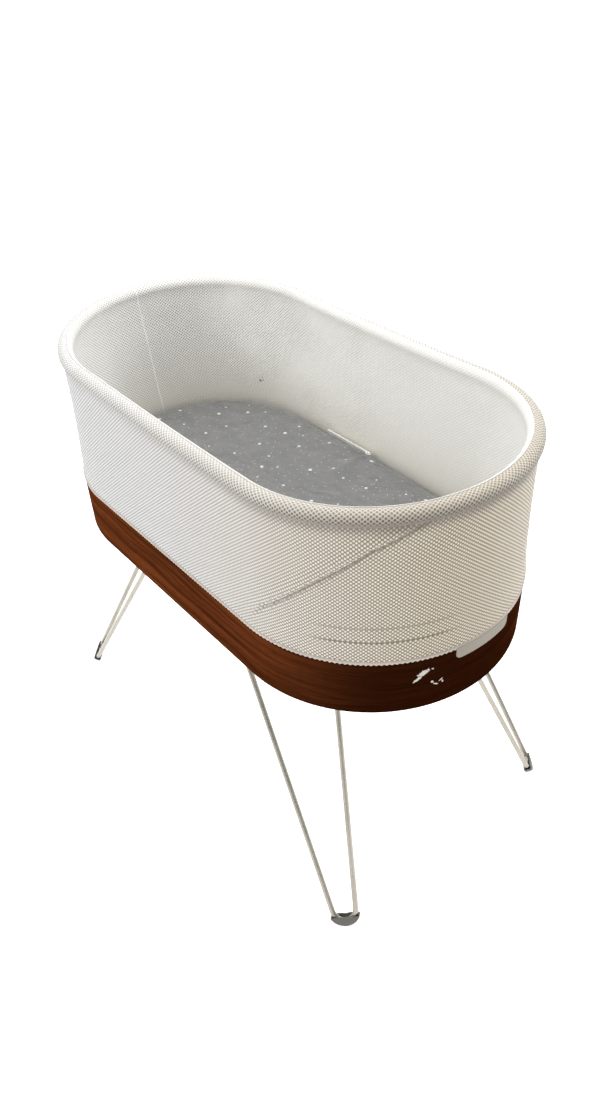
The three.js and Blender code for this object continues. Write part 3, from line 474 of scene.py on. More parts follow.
CREASE = [  # way round and height of the long crease near the foot end
    (-0.352, 0.566), (-0.318, 0.602), (-0.24, 0.672), (-0.17, 0.727), (-0.10, 0.764), (-0.05, 0.780)
]
DARK_ROWS = ((0.5808, 0.85), (0.6036, 0.45))  # heights of the rows of dark holes, and how dark
DARK_ROW_ENDS = (-0.262, -0.035)  # from where to where they go round
FOOT_SHADE_REACH = 0.3  # how far round from the foot end the painted shade on the wall reaches


def dark_rows(tree, place, dark):
    """Darkens the holes of two short rows, where the wall's lower hoop lies behind them."""
    low, high = DARK_ROW_ENDS
    half = (high - low) / 2
    way = add(tree, "SeparateXYZ", {0: place}, "X")
    past = gap(tree, way, low + half)
    within = add(tree, "MapRange", {0: past, 1: half * 0.6, 2: half, 3: 1.0, 4: 0.0}, **SMOOTH)
    half_rise = sizes().hole_rise / 2
    for height, strength in DARK_ROWS:
        centred = round(height / half_rise) * half_rise
        row = {0: gap(tree, way.node.outputs["Y"], centred), 1: 0.0012, 2: 0.0018, 3: strength, 4: 0.0}
        row = add(tree, "MapRange", row, **SMOOTH)
        row = add(tree, "Math", {0: row, 1: within}, operation="MULTIPLY")
        dark = add(tree, "Math", {0: dark, 1: row}, operation="MAXIMUM")
    return dark


def crease_line(tree, place):
    """The shadow in the wall's long crease, fading towards both ends."""
    way = add(tree, "SeparateXYZ", {0: place}, "X")
    line = CREASE[0][1]
    for (way0, z0), (way1, z1) in zip(CREASE, CREASE[1:]):
        rise = add(tree, "MapRange", {0: way, 1: way0, 2: way1, 3: 0.0, 4: z1 - z0})
        line = add(tree, "Math", {0: line, 1: rise}, operation="ADD")
    off = gap(tree, way.node.outputs["Y"], line)
    begins = {0: way, 1: CREASE[0][0] - 0.01, 2: CREASE[0][0] + 0.1}
    begins = add(tree, "MapRange", begins, **SMOOTH)
    ends = add(tree, "MapRange", {0: way, 1: -0.10, 2: -0.05, 3: 1.0, 4: 0.0}, **SMOOTH)
    along = add(tree, "Math", {0: begins, 1: ends}, operation="MULTIPLY")
    folded = add(tree, "MapRange", {0: off, 1: 0.0012, 2: 0.0046, 3: 0.65, 4: 0.0}, **SMOOTH)
    return add(tree, "Math", {0: folded, 1: along}, operation="MULTIPLY")


def spacer_mesh():
    """Warp-knitted polyester spacer mesh: staggered round holes in matt yarn. A hole looks white
    over the foam behind the wall. Painted shade darkens the holes on the roll, most under it, and
    makes yarn and holes darker and warmer towards the foot end; a band of painted shade lies under
    the roll's neck. Its attributes say how much painted shade the holes on the roll get, how much
    of the foot end's painted shade falls on it, where it is on the roll and where the neck's
    painted shade falls."""
    material, tree, shader = start(
        "warp_knitted_spacer_mesh", Roughness=0.85, Sheen_Weight=0.25, Sheen_Roughness=0.5
    )
    place = add(tree, "UVMap", uv_map="Cloth")
    behind, bare, roll, neck_shade = (
        add(tree, "Attribute", output="Fac", attribute_name=name)
        for name in ("behind", "bare", "roll", "neck_shade")
    )
    radius, yarn_tint = sizes().hole_radius, colours().mesh
    away = hole_distance(tree, place)
    hole = {0: away, 1: radius * 0.7, 2: radius * 1.25, 3: 1.0, 4: 0.0}
    hole = add(tree, "MapRange", hole, **SMOOTH)
    folded = crease_line(tree, place)
    # how dark the holes are: painted shade on the roll, the two dark rows, and the painted shadow in
    # the crease
    dark = add(tree, "Math", {0: dark_rows(tree, place, behind), 1: folded}, operation="MAXIMUM")
    # painted shade: holes and yarn turn darker and warmer towards the foot end, on the roll too
    backing = add(tree, "Mix", {0: bare, 6: colours().mesh_hole, 7: "D6CCBC"}, **COLOURS)
    backing = add(tree, "Mix", {0: dark, 6: backing, 7: colours().mesh_dark}, **COLOURS)
    yarn = add(tree, "MapRange", {0: mottle(tree, place, 900, 2), 1: 0.3, 2: 0.7}, **SMOOTH)
    pale = add(tree, "Mix", {0: bare, 6: yarn_tint, 7: colours().mesh_bare}, **COLOURS)
    net = add(tree, "Mix", {0: yarn, 6: shade(yarn_tint, 0.9), 7: pale}, **COLOURS)
    net = add(tree, "Mix", {0: bare, 6: net, 7: pale}, **COLOURS)
    on_roll = add(tree, "Mix", {0: bare, 6: "D8D7D4", 7: "C2B9A9"}, **COLOURS)
    net = add(tree, "Mix", {0: roll, 6: net, 7: on_roll}, **COLOURS)
    faint = add(tree, "Math", {0: folded, 1: 0.3}, operation="MULTIPLY")
    net = add(tree, "Mix", {0: faint, 6: net, 7: colours().mesh_dark}, **COLOURS)
    tone = add(tree, "Mix", {0: hole, 6: net, 7: backing}, **COLOURS)
    # painted shade in a band under the roll's neck
    tone = add(tree, "Mix", {0: neck_shade, 6: tone, 7: "5A5348"}, **COLOURS)
    relief = add(tree, "MapRange", {0: away, 1: radius * 0.6, 2: radius * 1.6}, **SMOOTH)
    surface(tree, shader, tone, relief, 0.0007)
    return material


SEAM_LEAN = 0.093  # how far the liner's upright seam moves round for each metre of height
SEAM_START = AROUND / 2 - 0.074  # where it would be at floor level
SNAGS = [  # way round, height and radius of each snag of the liner
    (0.899, 0.579, 0.0042), (0.892, 0.581, 0.0022), (0.8935, 0.5865, 0.0016)
]


def knitted_liner():
    """Knitted polyester liner: the same rows of holes as the outer mesh, but small ones, through
    which a little shadow shows; creamier towards the mattress, and snagged in one place."""
    material, tree, shader = start("knitted_polyester_liner", Roughness=0.9, Sheen_Weight=0.2)
    place = add(tree, "UVMap", uv_map="Cloth")
    away = hole_distance(tree, place)
    dot = add(tree, "MapRange", {0: away, 1: 0.0006, 2: 0.0017}, **SMOOTH)
    way = add(tree, "SeparateXYZ", {0: place}, "X")
    height = way.node.outputs["Y"]
    side = add(tree, "Math", {0: way}, operation="ABSOLUTE")
    # painted shade in the holes: deeper towards the head end, and uneven
    worn = add(tree, "Math", {0: mottle(tree, place, 9, 3), 1: side}, operation="ADD")
    depth = add(tree, "MapRange", {0: worn, 1: 1.1, 2: 1.55, 3: 0.75, 4: 0.3}, **SMOOTH)
    small = {0: rgba(colours().liner)[:3], 3: depth}
    small = add(tree, "VectorMath", small, operation="SCALE")
    tone = add(tree, "Mix", {0: dot, 6: small, 7: colours().liner}, **COLOURS)
    cream = add(tree, "MapRange", {0: height, 1: 0.52, 2: 0.66, 3: 0.55, 4: 0.0}, **SMOOTH)
    tone = add(tree, "Mix", {0: cream, 6: tone, 7: "E6E1D2"}, **COLOURS)
    # painted shade on the liner's top, where it lies over the roll
    upper = add(tree, "MapRange", {0: height, 1: 0.762, 2: 0.79, 3: 0.0, 4: 0.4}, **SMOOTH)
    tone = add(tree, "Mix", {0: upper, 6: tone, 7: "B9B6AE"}, **COLOURS)
    seam = add(tree, "Math", {0: height, 1: SEAM_LEAN, 2: SEAM_START}, operation="MULTIPLY_ADD")
    seam = {0: gap(tree, way, seam), 1: 0.0006, 2: 0.0016, 3: 0.8, 4: 0.0}
    seam = add(tree, "MapRange", seam, **SMOOTH)
    tone = add(tree, "Mix", {0: seam, 6: tone, 7: "FFFFFF"}, **COLOURS)
    for snag_way, snag_height, radius in SNAGS:
        snag = {0: place, 1: (snag_way, snag_height, 0)}
        snag = add(tree, "VectorMath", snag, 1, operation="DISTANCE")
        snag = {0: snag, 1: radius * 0.4, 2: radius, 3: 0.75, 4: 0.0}
        snag = add(tree, "MapRange", snag, **SMOOTH)
        tone = add(tree, "Mix", {0: snag, 6: tone, 7: "5E5A50"}, **COLOURS)
    surface(tree, shader, tone, dot, 0.0003)
    return material


def printed_jersey():
    """Heather grey cotton jersey, knitted from dark and pale fibres, with a scattered print of
    small white stars and dots. Each star is a cell of a star-shaped Voronoi pattern."""
    material, tree, shader = start("printed_cotton_jersey", Roughness=0.92, Sheen_Weight=0.35)
    place = add(tree, "TexCoord", output="Object")
    grey = colours().jersey
    heather = mottle(tree, place, 650, 3, (1, 1.8, 1))
    cloud = mottle(tree, place, 30, 4, (1, 2, 1), 0.6)
    fibres = add(tree, "MapRange", {0: heather, 1: 0.3, 2: 0.7}, **SMOOTH)
    tone = add(tree, "Mix", {0: fibres, 6: shade(grey, 0.72), 7: shade(grey, 1.3)}, **COLOURS)
    # painted shade of the sheet's soft wrinkles: broad darker patches
    worn = add(tree, "MapRange", {0: cloud, 1: 0.3, 2: 0.7, 3: 0.0, 4: 0.6}, **SMOOTH)
    tone = add(tree, "Mix", {0: worn, 6: tone, 7: shade(grey, 0.75)}, **COLOURS)
    # cells per metre, the largest half width in metres, how often a cell is printed
    for cells, half, share, exponent in ((20, 0.0072, 0.8, 0.5), (64, 0.0009, 0.85, 2.0)):
        pattern = {"Vector": place, "Scale": cells, "Exponent": exponent, "Randomness": 0.9}
        star = add(
            tree, "TexVoronoi", pattern, "Distance", voronoi_dimensions="2D", distance="MINKOWSKI"
        )
        chance = add(tree, "SeparateColor", {0: star.node.outputs["Color"]}, "Red")
        reach = {0: chance.node.outputs["Green"], 1: 0, 2: 1}
        reach.update({3: 0.5 * half * cells, 4: half * cells})
        reach = add(tree, "MapRange", reach, **SMOOTH)
        inside = add(tree, "Math", {0: star, 1: reach}, operation="LESS_THAN")
        drawn = add(tree, "Math", {0: chance, 1: 1 - share}, operation="GREATER_THAN")
        mask = add(tree, "Math", {0: inside, 1: drawn}, operation="MULTIPLY")
        tone = add(tree, "Mix", {0: mask, 6: tone, 7: "E2E2E0"}, **COLOURS)
    rumple = mottle(tree, place, 24, 4, (1, 1.5, 1), 0.6)
    relief = add(tree, "Math", {0: heather, 1: 0.03, 2: rumple}, operation="MULTIPLY_ADD")
    surface(tree, shader, tone, relief, 0.006)
    return material


def plated_rod():
    """Cold-drawn steel rod, bent, then nickel plated: satin, warm grey, with faint draw lines
    along it and soft clouding."""
    material, tree, shader = start("nickel_plated_steel_rod", Metallic=1.0)
    place = add(tree, "TexCoord", output="Object")
    lines = mottle(tree, place, 700, 2, (1, 1, 0.04))
    cloud = add(tree, "MapRange", {0: mottle(tree, place, 30, 3), 1: 0.3, 2: 0.7}, **SMOOTH)
    tone = add(tree, "Mix", {0: cloud, 6: "99948A", 7: "A19C92"}, **COLOURS)
    gloss = add(tree, "MapRange", {0: lines, 1: 0.3, 2: 0.7, 3: 0.24, 4: 0.36}, **SMOOTH)
    surface(tree, shader, tone, lines, 0.000004, gloss)
    return material


def birch_plywood():
    """Birch plywood, sanded and sealed: pale, with soft long figure along X."""
    material, tree, shader = start("sealed_birch_plywood", Roughness=0.55)
    figure = mottle(tree, add(tree, "TexCoord", output="Object"), 1, 4, (3, 45, 45))
    share = add(tree, "MapRange", {0: figure, 1: 0.3, 2: 0.7}, **SMOOTH)
    tone = add(tree, "Mix", {0: share, 6: "C39E6C", 7: "D9BC8D"}, **COLOURS)
    surface(tree, shader, tone, figure, 0.0001)
    return material


def circuit_laminate():
    """Glass-epoxy circuit laminate under green solder mask, with paler tracks 2 mm wide."""
    material, tree, shader = start("solder_masked_laminate", Roughness=0.35, Coat_Weight=0.4)
    pattern = {"Vector": add(tree, "TexCoord", output="Object"), "Scale": 130.0, "Randomness": 1.0}
    track = add(tree, "TexVoronoi", pattern, distance="CHEBYCHEV", feature="F2")
    share = add(tree, "MapRange", {0: track, 1: 0.85, 2: 0.95}, **SMOOTH)
    tone = add(tree, "Mix", {0: share, 6: "24502F", 7: "4C8A55"}, **COLOURS)
    surface(tree, shader, tone, share, 0.00005)
    return material


def open_cell_foam():
    """Open-cell polyurethane foam: matt off-white with 1 mm cells."""
    material, tree, shader = start("open_cell_polyurethane_foam", Roughness=0.95)
    pattern = {"Vector": add(tree, "TexCoord", output="Object"), "Scale": 900.0}
    cells = add(tree, "TexVoronoi", pattern)
    share = add(tree, "MapRange", {0: cells, 1: 0.1, 2: 0.6}, **SMOOTH)
    tone = add(tree, "Mix", {0: share, 6: "D8D6CD", 7: "BFBDB3"}, **COLOURS)
    surface(tree, shader, tone, cells, -0.0003)
    return material


FINISHES = {}  # the shared materials, by the record's slot; the first operator fills it


def make_finishes():
    """Makes the finishes of the rigid pieces. The numbers are roughness, grain, relief and
    contrast; grain and relief are in metres."""
    tint = colours()
    zinc, steel, aluminium = "A9ABAC", "8E9092", "A6A8AA"
    along_z = (1, 1, 20)
    FINISHES.update({
        # moulded ABS: fine spark-eroded texture, satin
        "white_plastic": plain(
            "moulded_white_abs", tint.plastic, 0.42, 0.0012, 0.00004, 0.03, IOR=1.52
        ),
        "dark_plastic": plain("moulded_dark_abs", "2C2D2F", 0.45, 0.0012, 0.00005, 0.15, IOR=1.52),
        # zinc plated sheet steel: bluish grey, cloudy
        "zinc_steel": plain("zinc_plated_steel", zinc, 0.38, 0.004, 0.00002, 0.12, Metallic=1.0),
        # ground bearing steel: bright, with fine rings
        "bearing_steel": plain(
            "ground_bearing_steel", steel, 0.22, 0.002, 0.00001, 0.06, along_z, Metallic=1.0
        ),
        # gravity cast aluminium: pebbly skin
        "cast_aluminium": plain(
            "cast_aluminium", aluminium, 0.5, 0.0016, 0.0001, 0.12, Metallic=1.0
        ),
        # moulded thermoplastic rubber: matt, slightly dusty
        "grey_rubber": plain("moulded_grey_rubber", tint.rubber, 0.62, 0.0009, 0.00005, 0.07),
        # cord-reinforced neoprene: black, dull
        "belt_rubber": plain("cord_reinforced_belt_rubber", "1F1F20", 0.8, 0.001, 0.00008, 0.2),
        # moulded silicone: soft sheen, beige
        "tab_silicone": plain(
            "moulded_silicone", tint.silicone, 0.48, 0.0008, 0.00003, 0.03, IOR=1.43
        ),
        # opal polycarbonate lens over the lamps
        "light_diffuser": plain(
            "opal_polycarbonate", "F2F2EE", 0.3, 0.002, 0.00001, 0.02, IOR=1.58
        ),
        "chrome_rod": plated_rod(),
        "birch_plywood": birch_plywood(),
        "circuit_board": circuit_laminate(),
        "rim_foam": open_cell_foam(),
    })


# ---- the hairpin legs ----------------------------------------------------------------------------

ROD_TOP_INNER = (SIDE + 0.025, RIM_WIDTH - 0.1218)
ROD_TOP_OUTER = (SIDE - 0.0895, RIM_WIDTH - 0.0217)
BEND_LOW = 0.007
PLATE_RADIUS = 0.014
PLATE_BOTTOM, PLATE_TOP = 0.4457, 0.4507
PLATE_EASE = 0.0008
ROD_SUNK = 0.0025  # how far a rod reaches up into the plate
BEAD_RADIUS = 0.0019  # of the weld's own section
BEAD_LOW, BEAD_WIDE = 0.0008, 0.0006  # how far its middle lies below the plate and off the rod
TONGUE_HALF = Vector((0.02, 0.003))
TONGUE_SUNK = 0.001  # how far the tongue starts inside the plate
TONGUE_TOP = PLATE_TOP + 0.024
WINDOW_HALF, WINDOW_BOTTOM, WINDOW_TOP = 0.0043, 0.459, 0.4676

CAP_ROOM = 0.0025  # between a rod's side and the outside of a cap
CAP_LIP = 0.003  # how far a cap's sides stand over the rod at the bottom of the bend
CAP_CORNER = 0.0022
CAP_WALL = 0.0021
CAP_SHORT = math.radians(28)  # how far each end of a cap stops short of a half turn
CAP_TAPER = 2.2  # how fast its sides taper towards its ends
FLOOR_ROOM = 0.0001  # left under a cap's flat sole


class LegPlane:
    """The leaning plane of one hairpin: across is level, up runs up the leg, out is square to both."""

    def __init__(self, name):
        sx, sy = QUADRANTS[name]
        mounts = {m["name"]: Vector(m["pos_m"]) for m in frame["record"]["mounts"]}
        self.foot = mounts[name + "_foot"]
        self.inner = Vector((sx * ROD_TOP_INNER[0], sy * ROD_TOP_INNER[1], BAND_BOTTOM))
        self.outer = Vector((sx * ROD_TOP_OUTER[0], sy * ROD_TOP_OUTER[1], BAND_BOTTOM))
        self.across = (self.outer - self.inner).normalized()
        rise = self.inner - self.foot
        self.up = (rise - self.across * rise.dot(self.across)).normalized()
        self.out = self.across.cross(self.up)
        self.centre = self.place(0, BEND_LOW + sizes().bend_radius)

    def place(self, across, up, out=0.0):
        return self.foot + self.across * across + self.up * up + self.out * out

    def bend_angle(self, top, side):
        """The angle round the bend where a straight rod leaves it for its top."""
        arm = top - self.centre
        flat = Vector((arm.dot(self.across), arm.dot(self.up)))
        swing = math.acos(sizes().bend_radius / flat.length)
        return math.atan2(flat.y, flat.x) + side * swing

    def bend_range(self):
        """The angles round the bend where the inner and the outer rod leave it."""
        return self.bend_angle(self.inner, 1), self.bend_angle(self.outer, -1) + math.tau

    def on_bend(self, angle, radius, out=0.0):
        up = BEND_LOW + sizes().bend_radius + radius * math.sin(angle)
        return self.place(radius * math.cos(angle), up, out)


def hairpin_rod(bm, leg):
    """A rod carried down from its inner top, round the bend and up to its outer top."""
    first, last = leg.bend_range()
    bend_start, bend_end = (leg.on_bend(a, sizes().bend_radius) for a in (first, last))
    tops = []
    for top, end in ((leg.inner, bend_start), (leg.outer, bend_end)):
        run = top - end
        tops.append(top + run * ((PLATE_BOTTOM + ROD_SUNK - top.z) / run.z))
    down = (bend_start - tops[0]).normalized()
    place = Matrix.Translation(tops[0]) @ down.to_track_quat("Z", "X").to_matrix().to_4x4()
    made = bmesh.ops.create_circle(
        bm, cap_ends=True, segments=20, radius=sizes().rod_radius, matrix=place
    )
    ring = list({e for v in made["verts"] for e in v.link_edges})
    ring = drawn_on(bm, ring, bend_start - tops[0])
    spun = bmesh.ops.spin(
        bm, geom=ring, cent=leg.centre, axis=leg.out, angle=last - first, steps=28, use_merge=False
    )
    ring = [g for g in spun["geom_last"] if isinstance(g, bmesh.types.BMEdge)]
    drawn_on(bm, ring, tops[1] - bend_end)
    bmesh.ops.holes_fill(bm, edges=[e for e in bm.edges if e.is_boundary], sides=0)


def drawn_on(bm, ring, move):
    """Carries a ring of edges on by a straight length of rod, and gives the ring at its end."""
    pulled = bmesh.ops.extrude_edge_only(bm, edges=ring)["geom"]
    bmesh.ops.translate(bm, verts=verts_of(pulled), vec=move)
    return [g for g in pulled if isinstance(g, bmesh.types.BMEdge)]


def leg_plate(bm, leg):
    """The plate the two rods are welded to, with round ends and eased edges."""
    inner, outer = leg.inner.copy(), leg.outer.copy()
    inner.z = outer.z = PLATE_BOTTOM
    side = Vector((leg.across.y, -leg.across.x, 0)) * PLATE_RADIUS
    ends = []
    for centre, arm in ((inner, side), (outer, -side)):
        begin = bm.verts.new(centre + arm)
        spun = bmesh.ops.spin(
            bm, geom=[begin], cent=centre, axis=(0, 0, 1), angle=-math.pi, steps=12, use_merge=False
        )
        ends += [begin, spun["geom_last"][0]]
    bm.edges.new((ends[1], ends[2]))
    bm.edges.new((ends[3], ends[0]))
    loop = [e for e in bm.edges if not e.link_faces]
    face = bmesh.ops.contextual_create(bm, geom=loop)["faces"]
    pulled = bmesh.ops.extrude_face_region(bm, geom=face)["geom"]
    top = verts_of(pulled)
    bmesh.ops.translate(bm, verts=top, vec=(0, 0, PLATE_TOP - PLATE_BOTTOM))
    edges = {e for v in top for e in v.link_edges if abs(e.verts[0].co.z - e.verts[1].co.z) < 1e-6}
    rounded(bm, list(edges), PLATE_EASE, 2)


def leg_tongue(bm, leg):
    """The tongue that plugs into the socket, with the window that the latch's nose passes."""
    middle = (leg.inner + leg.outer) / 2
    along = Vector((leg.across.x, leg.across.y, 0)).normalized()
    through = Vector((along.y, -along.x, 0))
    turn = Matrix((along, through, (0, 0, 1))).transposed().to_4x4()
    low, high = PLATE_TOP - TONGUE_SUNK, TONGUE_TOP
    scale = Matrix.Diagonal((TONGUE_HALF.x * 2, TONGUE_HALF.y * 2, high - low, 1))
    place = Matrix.Translation((middle.x, middle.y, (low + high) / 2)) @ turn
    verts = bmesh.ops.create_cube(bm, size=1, matrix=place @ scale)["verts"]
    faces = {f for v in verts for f in v.link_faces if abs(f.normal.dot(through)) > 0.9}
    opened = []
    for face in faces:
        bmesh.ops.inset_individual(bm, faces=[face], thickness=TONGUE_HALF.y / 2)
        for vert in face.verts:  # the inset's corners go to the window's own
            arm = vert.co - Vector((middle.x, middle.y, 0))
            shift = math.copysign(WINDOW_HALF, arm.dot(along)) - arm.dot(along)
            vert.co += along * shift
            vert.co.z = WINDOW_TOP if vert.co.z > (low + high) / 2 else WINDOW_BOTTOM
        opened += list(face.edges)
    bmesh.ops.delete(bm, geom=list(faces), context="FACES_ONLY")
    bmesh.ops.bridge_loops(bm, edges=opened)


def weld_beads(bm, leg):
    """A bead of weld round each rod under the plate."""
    for top, side in ((leg.inner, 1), (leg.outer, -1)):
        end = leg.on_bend(leg.bend_angle(top, side), sizes().bend_radius)
        run = (top - end).normalized()
        centre = top + run * ((PLATE_BOTTOM - BEAD_LOW - top.z) / run.z)
        level_ring(bm, centre, sizes().rod_radius + BEAD_WIDE, BEAD_RADIUS, 8, 28)


def foot_cap(bm, leg):
    """An open channel that hugs the bend, midway between the two rods; its sides stand a little
    over the rod and taper away towards its two ends."""
    size = sizes()
    half = size.rod_radius + CAP_ROOM
    side_low = size.cap_radius - CAP_CORNER
    lip = size.bend_radius - size.rod_radius - CAP_LIP
    middle = sum(leg.bend_range()) / 2
    reach = math.pi / 2 - CAP_SHORT
    section = [(lip, -half)]
    section += arc(CAP_CORNER, -90, 0, 5, (side_low, CAP_CORNER - half))
    section += [(radius, -out) for radius, out in reversed(section)]
    row = [bm.verts.new(leg.on_bend(middle - reach, radius, out)) for radius, out in section]
    edges = [bm.edges.new(pair) for pair in zip(row, row[1:])]
    bmesh.ops.spin(
        bm, geom=row + edges, cent=leg.centre, axis=leg.out, angle=2 * reach, steps=40, use_merge=False
    )
    end_height = math.sin(CAP_SHORT)
    for vert in bm.verts:
        arm = vert.co - leg.centre
        aside = leg.out * arm.dot(leg.out)
        across, up = arm.dot(leg.across), arm.dot(leg.up)
        if math.hypot(across, up) < side_low - 1e-4:
            lowest = math.cos(math.atan2(up, across) - middle)
            share = max((lowest - end_height) / (1 - end_height), 0)
            wanted = lip + (side_low - lip) * (1 - share) ** CAP_TAPER * 0.98
            vert.co = leg.centre + (arm - aside).normalized() * wanted + aside
    bmesh.ops.recalc_face_normals(bm, faces=bm.faces)
    if sum(f.normal.dot(f.calc_center_median() - leg.centre) for f in bm.faces) < 0:
        bmesh.ops.reverse_faces(bm, faces=bm.faces)
    bmesh.ops.solidify(bm, geom=bm.faces, thickness=CAP_WALL)
    floor = {"plane_co": (0, 0, FLOOR_ROOM), "plane_no": (0, 0, -1)}
    bmesh.ops.bisect_plane(bm, geom=everything(bm), clear_outer=True, **floor)
    bmesh.ops.holes_fill(bm, edges=[e for e in bm.edges if e.is_boundary], sides=0)
    bmesh.ops.recalc_face_normals(bm, faces=bm.faces)


class BASSINET_OT_legs(bpy.types.Operator):
    """Four plated hairpin legs, each a bent rod welded to a plate with a tongue"""

    bl_idname = "bassinet.legs"
    bl_label = "Hairpin legs"

    def execute(self, context):
        for name in QUADRANTS:
            bm = bmesh.new()
            leg = LegPlane(name)
            hairpin_rod(bm, leg)
            leg_plate(bm, leg)
            leg_tongue(bm, leg)
            weld_beads(bm, leg)
            bmesh.ops.recalc_face_normals(bm, faces=bm.faces)
            piece("hairpin_" + name, bm, "frame", "chrome_rod", ["leg_" + name])
        return {"FINISHED"}


class BASSINET_OT_foot_caps(bpy.types.Operator):
    """Grey rubber caps under the four bends"""

    bl_idname = "bassinet.foot_caps"
    bl_label = "Foot caps"

    def execute(self, context):
        for name in QUADRANTS:
            bm = bmesh.new()
            foot_cap(bm, LegPlane(name))
            piece("rubber_foot_" + name, bm, "frame", "grey_rubber", ["foot_cap_" + name])
        return {"FINISHED"}


# ---- the body ------------------------------------------------------------------------------------

BAND_WALL = 0.008
BUTTON_LOW, BUTTON_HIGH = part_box("control_button")
RING_LOW, RING_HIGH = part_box("light_ring")
BUTTON_HEIGHT = (BUTTON_LOW.z + BUTTON_HIGH.z) / 2
BUTTON_RADIUS = (BUTTON_HIGH.z - BUTTON_LOW.z) / 2
RING_RADIUS = (RING_HIGH.z - RING_LOW.z) / 2
RING_PLAY = 0.0003
LAID_ON = 0.0003  # between the band's face and what lies on it or behind it


def veneer_band():
    """The band's ring with rounded edges, and the hole for the button's ring at the head end."""
    edge, outer, inner = sizes().veneer_edge, BAND_OFFSET, BAND_OFFSET - BAND_WALL
    section = arc(edge, -90, 0, 4, (outer - edge, BAND_BOTTOM + edge))
    section += [(outer, BAND_BOTTOM + (BAND_TOP - BAND_BOTTOM) * i / 8) for i in range(1, 8)]
    section += arc(edge, 0, 90, 4, (outer - edge, BAND_TOP - edge))
    section += arc(edge / 2, 90, 180, 2, (inner + edge / 2, BAND_TOP - edge / 2))
    section += arc(edge / 2, 180, 270, 2, (inner + edge / 2, BAND_BOTTOM + edge / 2))
    bm = strip(section, 300, closed=True)
    bend_round(bm)
    made = piece("walnut_band", bm, "frame", "walnut_veneer", ["band_veneer"], walnut_veneer())
    cutter = bmesh.new()
    radius, through = RING_RADIUS + RING_PLAY, 0.06
    place = Matrix.Translation((BAND_LOW.x, 0, BUTTON_HEIGHT)) @ Matrix.Rotation(math.pi / 2, 4, "Y")
    bmesh.ops.create_cone(
        cutter, cap_ends=True, segments=64, radius1=radius, radius2=radius, depth=through, matrix=place
    )
    drill = bpy.data.objects.new("drill", bpy.data.meshes.new("drill"))
    cutter.to_mesh(drill.data)
    cutter.free()
    bpy.context.scene.collection.objects.link(drill)
    hole = made.modifiers.new("Hole", "BOOLEAN")
    hole.object, hole.operation, hole.solver = drill, "DIFFERENCE", "EXACT"
    apply_modifiers(made)
    bpy.data.objects.remove(drill)


def apply_modifiers(made):
    """Makes the modified mesh the piece's own."""
    bpy.context.view_layer.update()
    graph = bpy.context.evaluated_depsgraph_get()
    done = bpy.data.meshes.new_from_object(made.evaluated_get(graph), depsgraph=graph)
    made.modifiers.clear()
    made.data = done


WAIST = 0.0072  # how far outside the rim's centre line the wall stands over its hem
WAIST_REACH = 0.72  # the share of the wall's height by which it is drawn in to the waist
CREASE_RIDGE, RIDGE_HALF, RIDGE_OVER = 0.0036, 0.009, 0.006  # how high, wide and far over the groove
CREASE_GROOVE, GROOVE_HALF = 0.0040, 0.0028
WALL_COLUMNS = 460
TOOTH_LENGTH = 0.0022  # of a tooth of the scalloped hem
HEM_THICKNESS = 0.0007
ROLL_START, ROLL_END = -54.8, 198  # where the wall meets and leaves the roll, in degrees


def wall_face(share):
    """The wall's outward offset: full at the hem, drawn in to the waist, straight above it."""
    hem = BAND_OFFSET - LAID_ON
    return hem - (hem - WAIST) * math.sin(min(share / WAIST_REACH, 1) * math.pi / 2)


def wall_relief(way, z):
    """How far the outer wall stands out: a long crease near the foot end, and a little slack."""
    under_rim = clamped((RIM_HEIGHT - 0.002 - z) / 0.03)
    over_hem = clamped((z - WALL_BOTTOM) / 0.03)
    off = line_distance(way, z, CREASE)
    fold = CREASE_RIDGE * bump(off - RIDGE_OVER, RIDGE_HALF) - CREASE_GROOVE * bump(off, GROOVE_HALF)
    slack = 0.0011 * noise.noise(Vector((*plan(way, 0), z)) * 8)
    slack += 0.0007 * noise.noise(Vector((*plan(way, 0), z)) * 20)
    return under_rim * (over_hem * slack + crease_fade(way) * fold)


def crease_fade(way):
    """How strong the wall's long crease is at a distance round: it dies away at both ends."""
    return clamped((way + 0.36) / 0.04) * clamped((-0.045 - way) / 0.05)


def wrapped_mesh():
    """The outer wall, rolled over the rim to its inside."""
    under = RIM_HEIGHT - math.sqrt(RIM_RADIUS**2 - WAIST**2)
    rows = 38
    tall = under - WALL_BOTTOM
    section = [(wall_face(i / rows), WALL_BOTTOM + tall * i / rows) for i in range(rows)]
    section += arc(RIM_RADIUS, ROLL_START, ROLL_END, 22, (0, RIM_HEIGHT))
    bm = strip(section, WALL_COLUMNS)
    marks = {name: bm.verts.layers.float.new(name) for name in ("behind", "bare", "roll", "neck_shade")}
    for vert in bm.verts:
        way, out, z = vert.co
        nearness = bump(way, FOOT_SHADE_REACH) ** 0.5
        # how much of the foot end's painted shade each point gets
        vert[marks["bare"]] = nearness
        over = math.degrees(math.atan2(z - RIM_HEIGHT, out)) if z > under - 0.02 else -90
        vert[marks["roll"]] = clamped((over + 62) / 50)
        # painted shade in the holes on the roll: darkest on its lower side and towards the foot end
        least = 0.42 + 0.28 * nearness
        dark = least + (1 - least) * bump(over + 20, 60)
        vert[marks["behind"]] = vert[marks["roll"]] * dark
        # painted shade in a band under the roll's neck, stronger towards the foot end
        vert[marks["neck_shade"]] = (0.2 + 0.65 * nearness) * bump(z - under - 0.003, 0.011) * (out > 0)
        if z < under:
            vert.co.y += wall_relief(way, z)
    bend_round(bm)
    outwards(bm)
    made = piece("spacer_mesh_wall", bm, "frame", "spacer_mesh", ["outer_mesh"], spacer_mesh(), 180)
    thicken(made, sizes().mesh_thickness)
    hem = scalloped_hem()


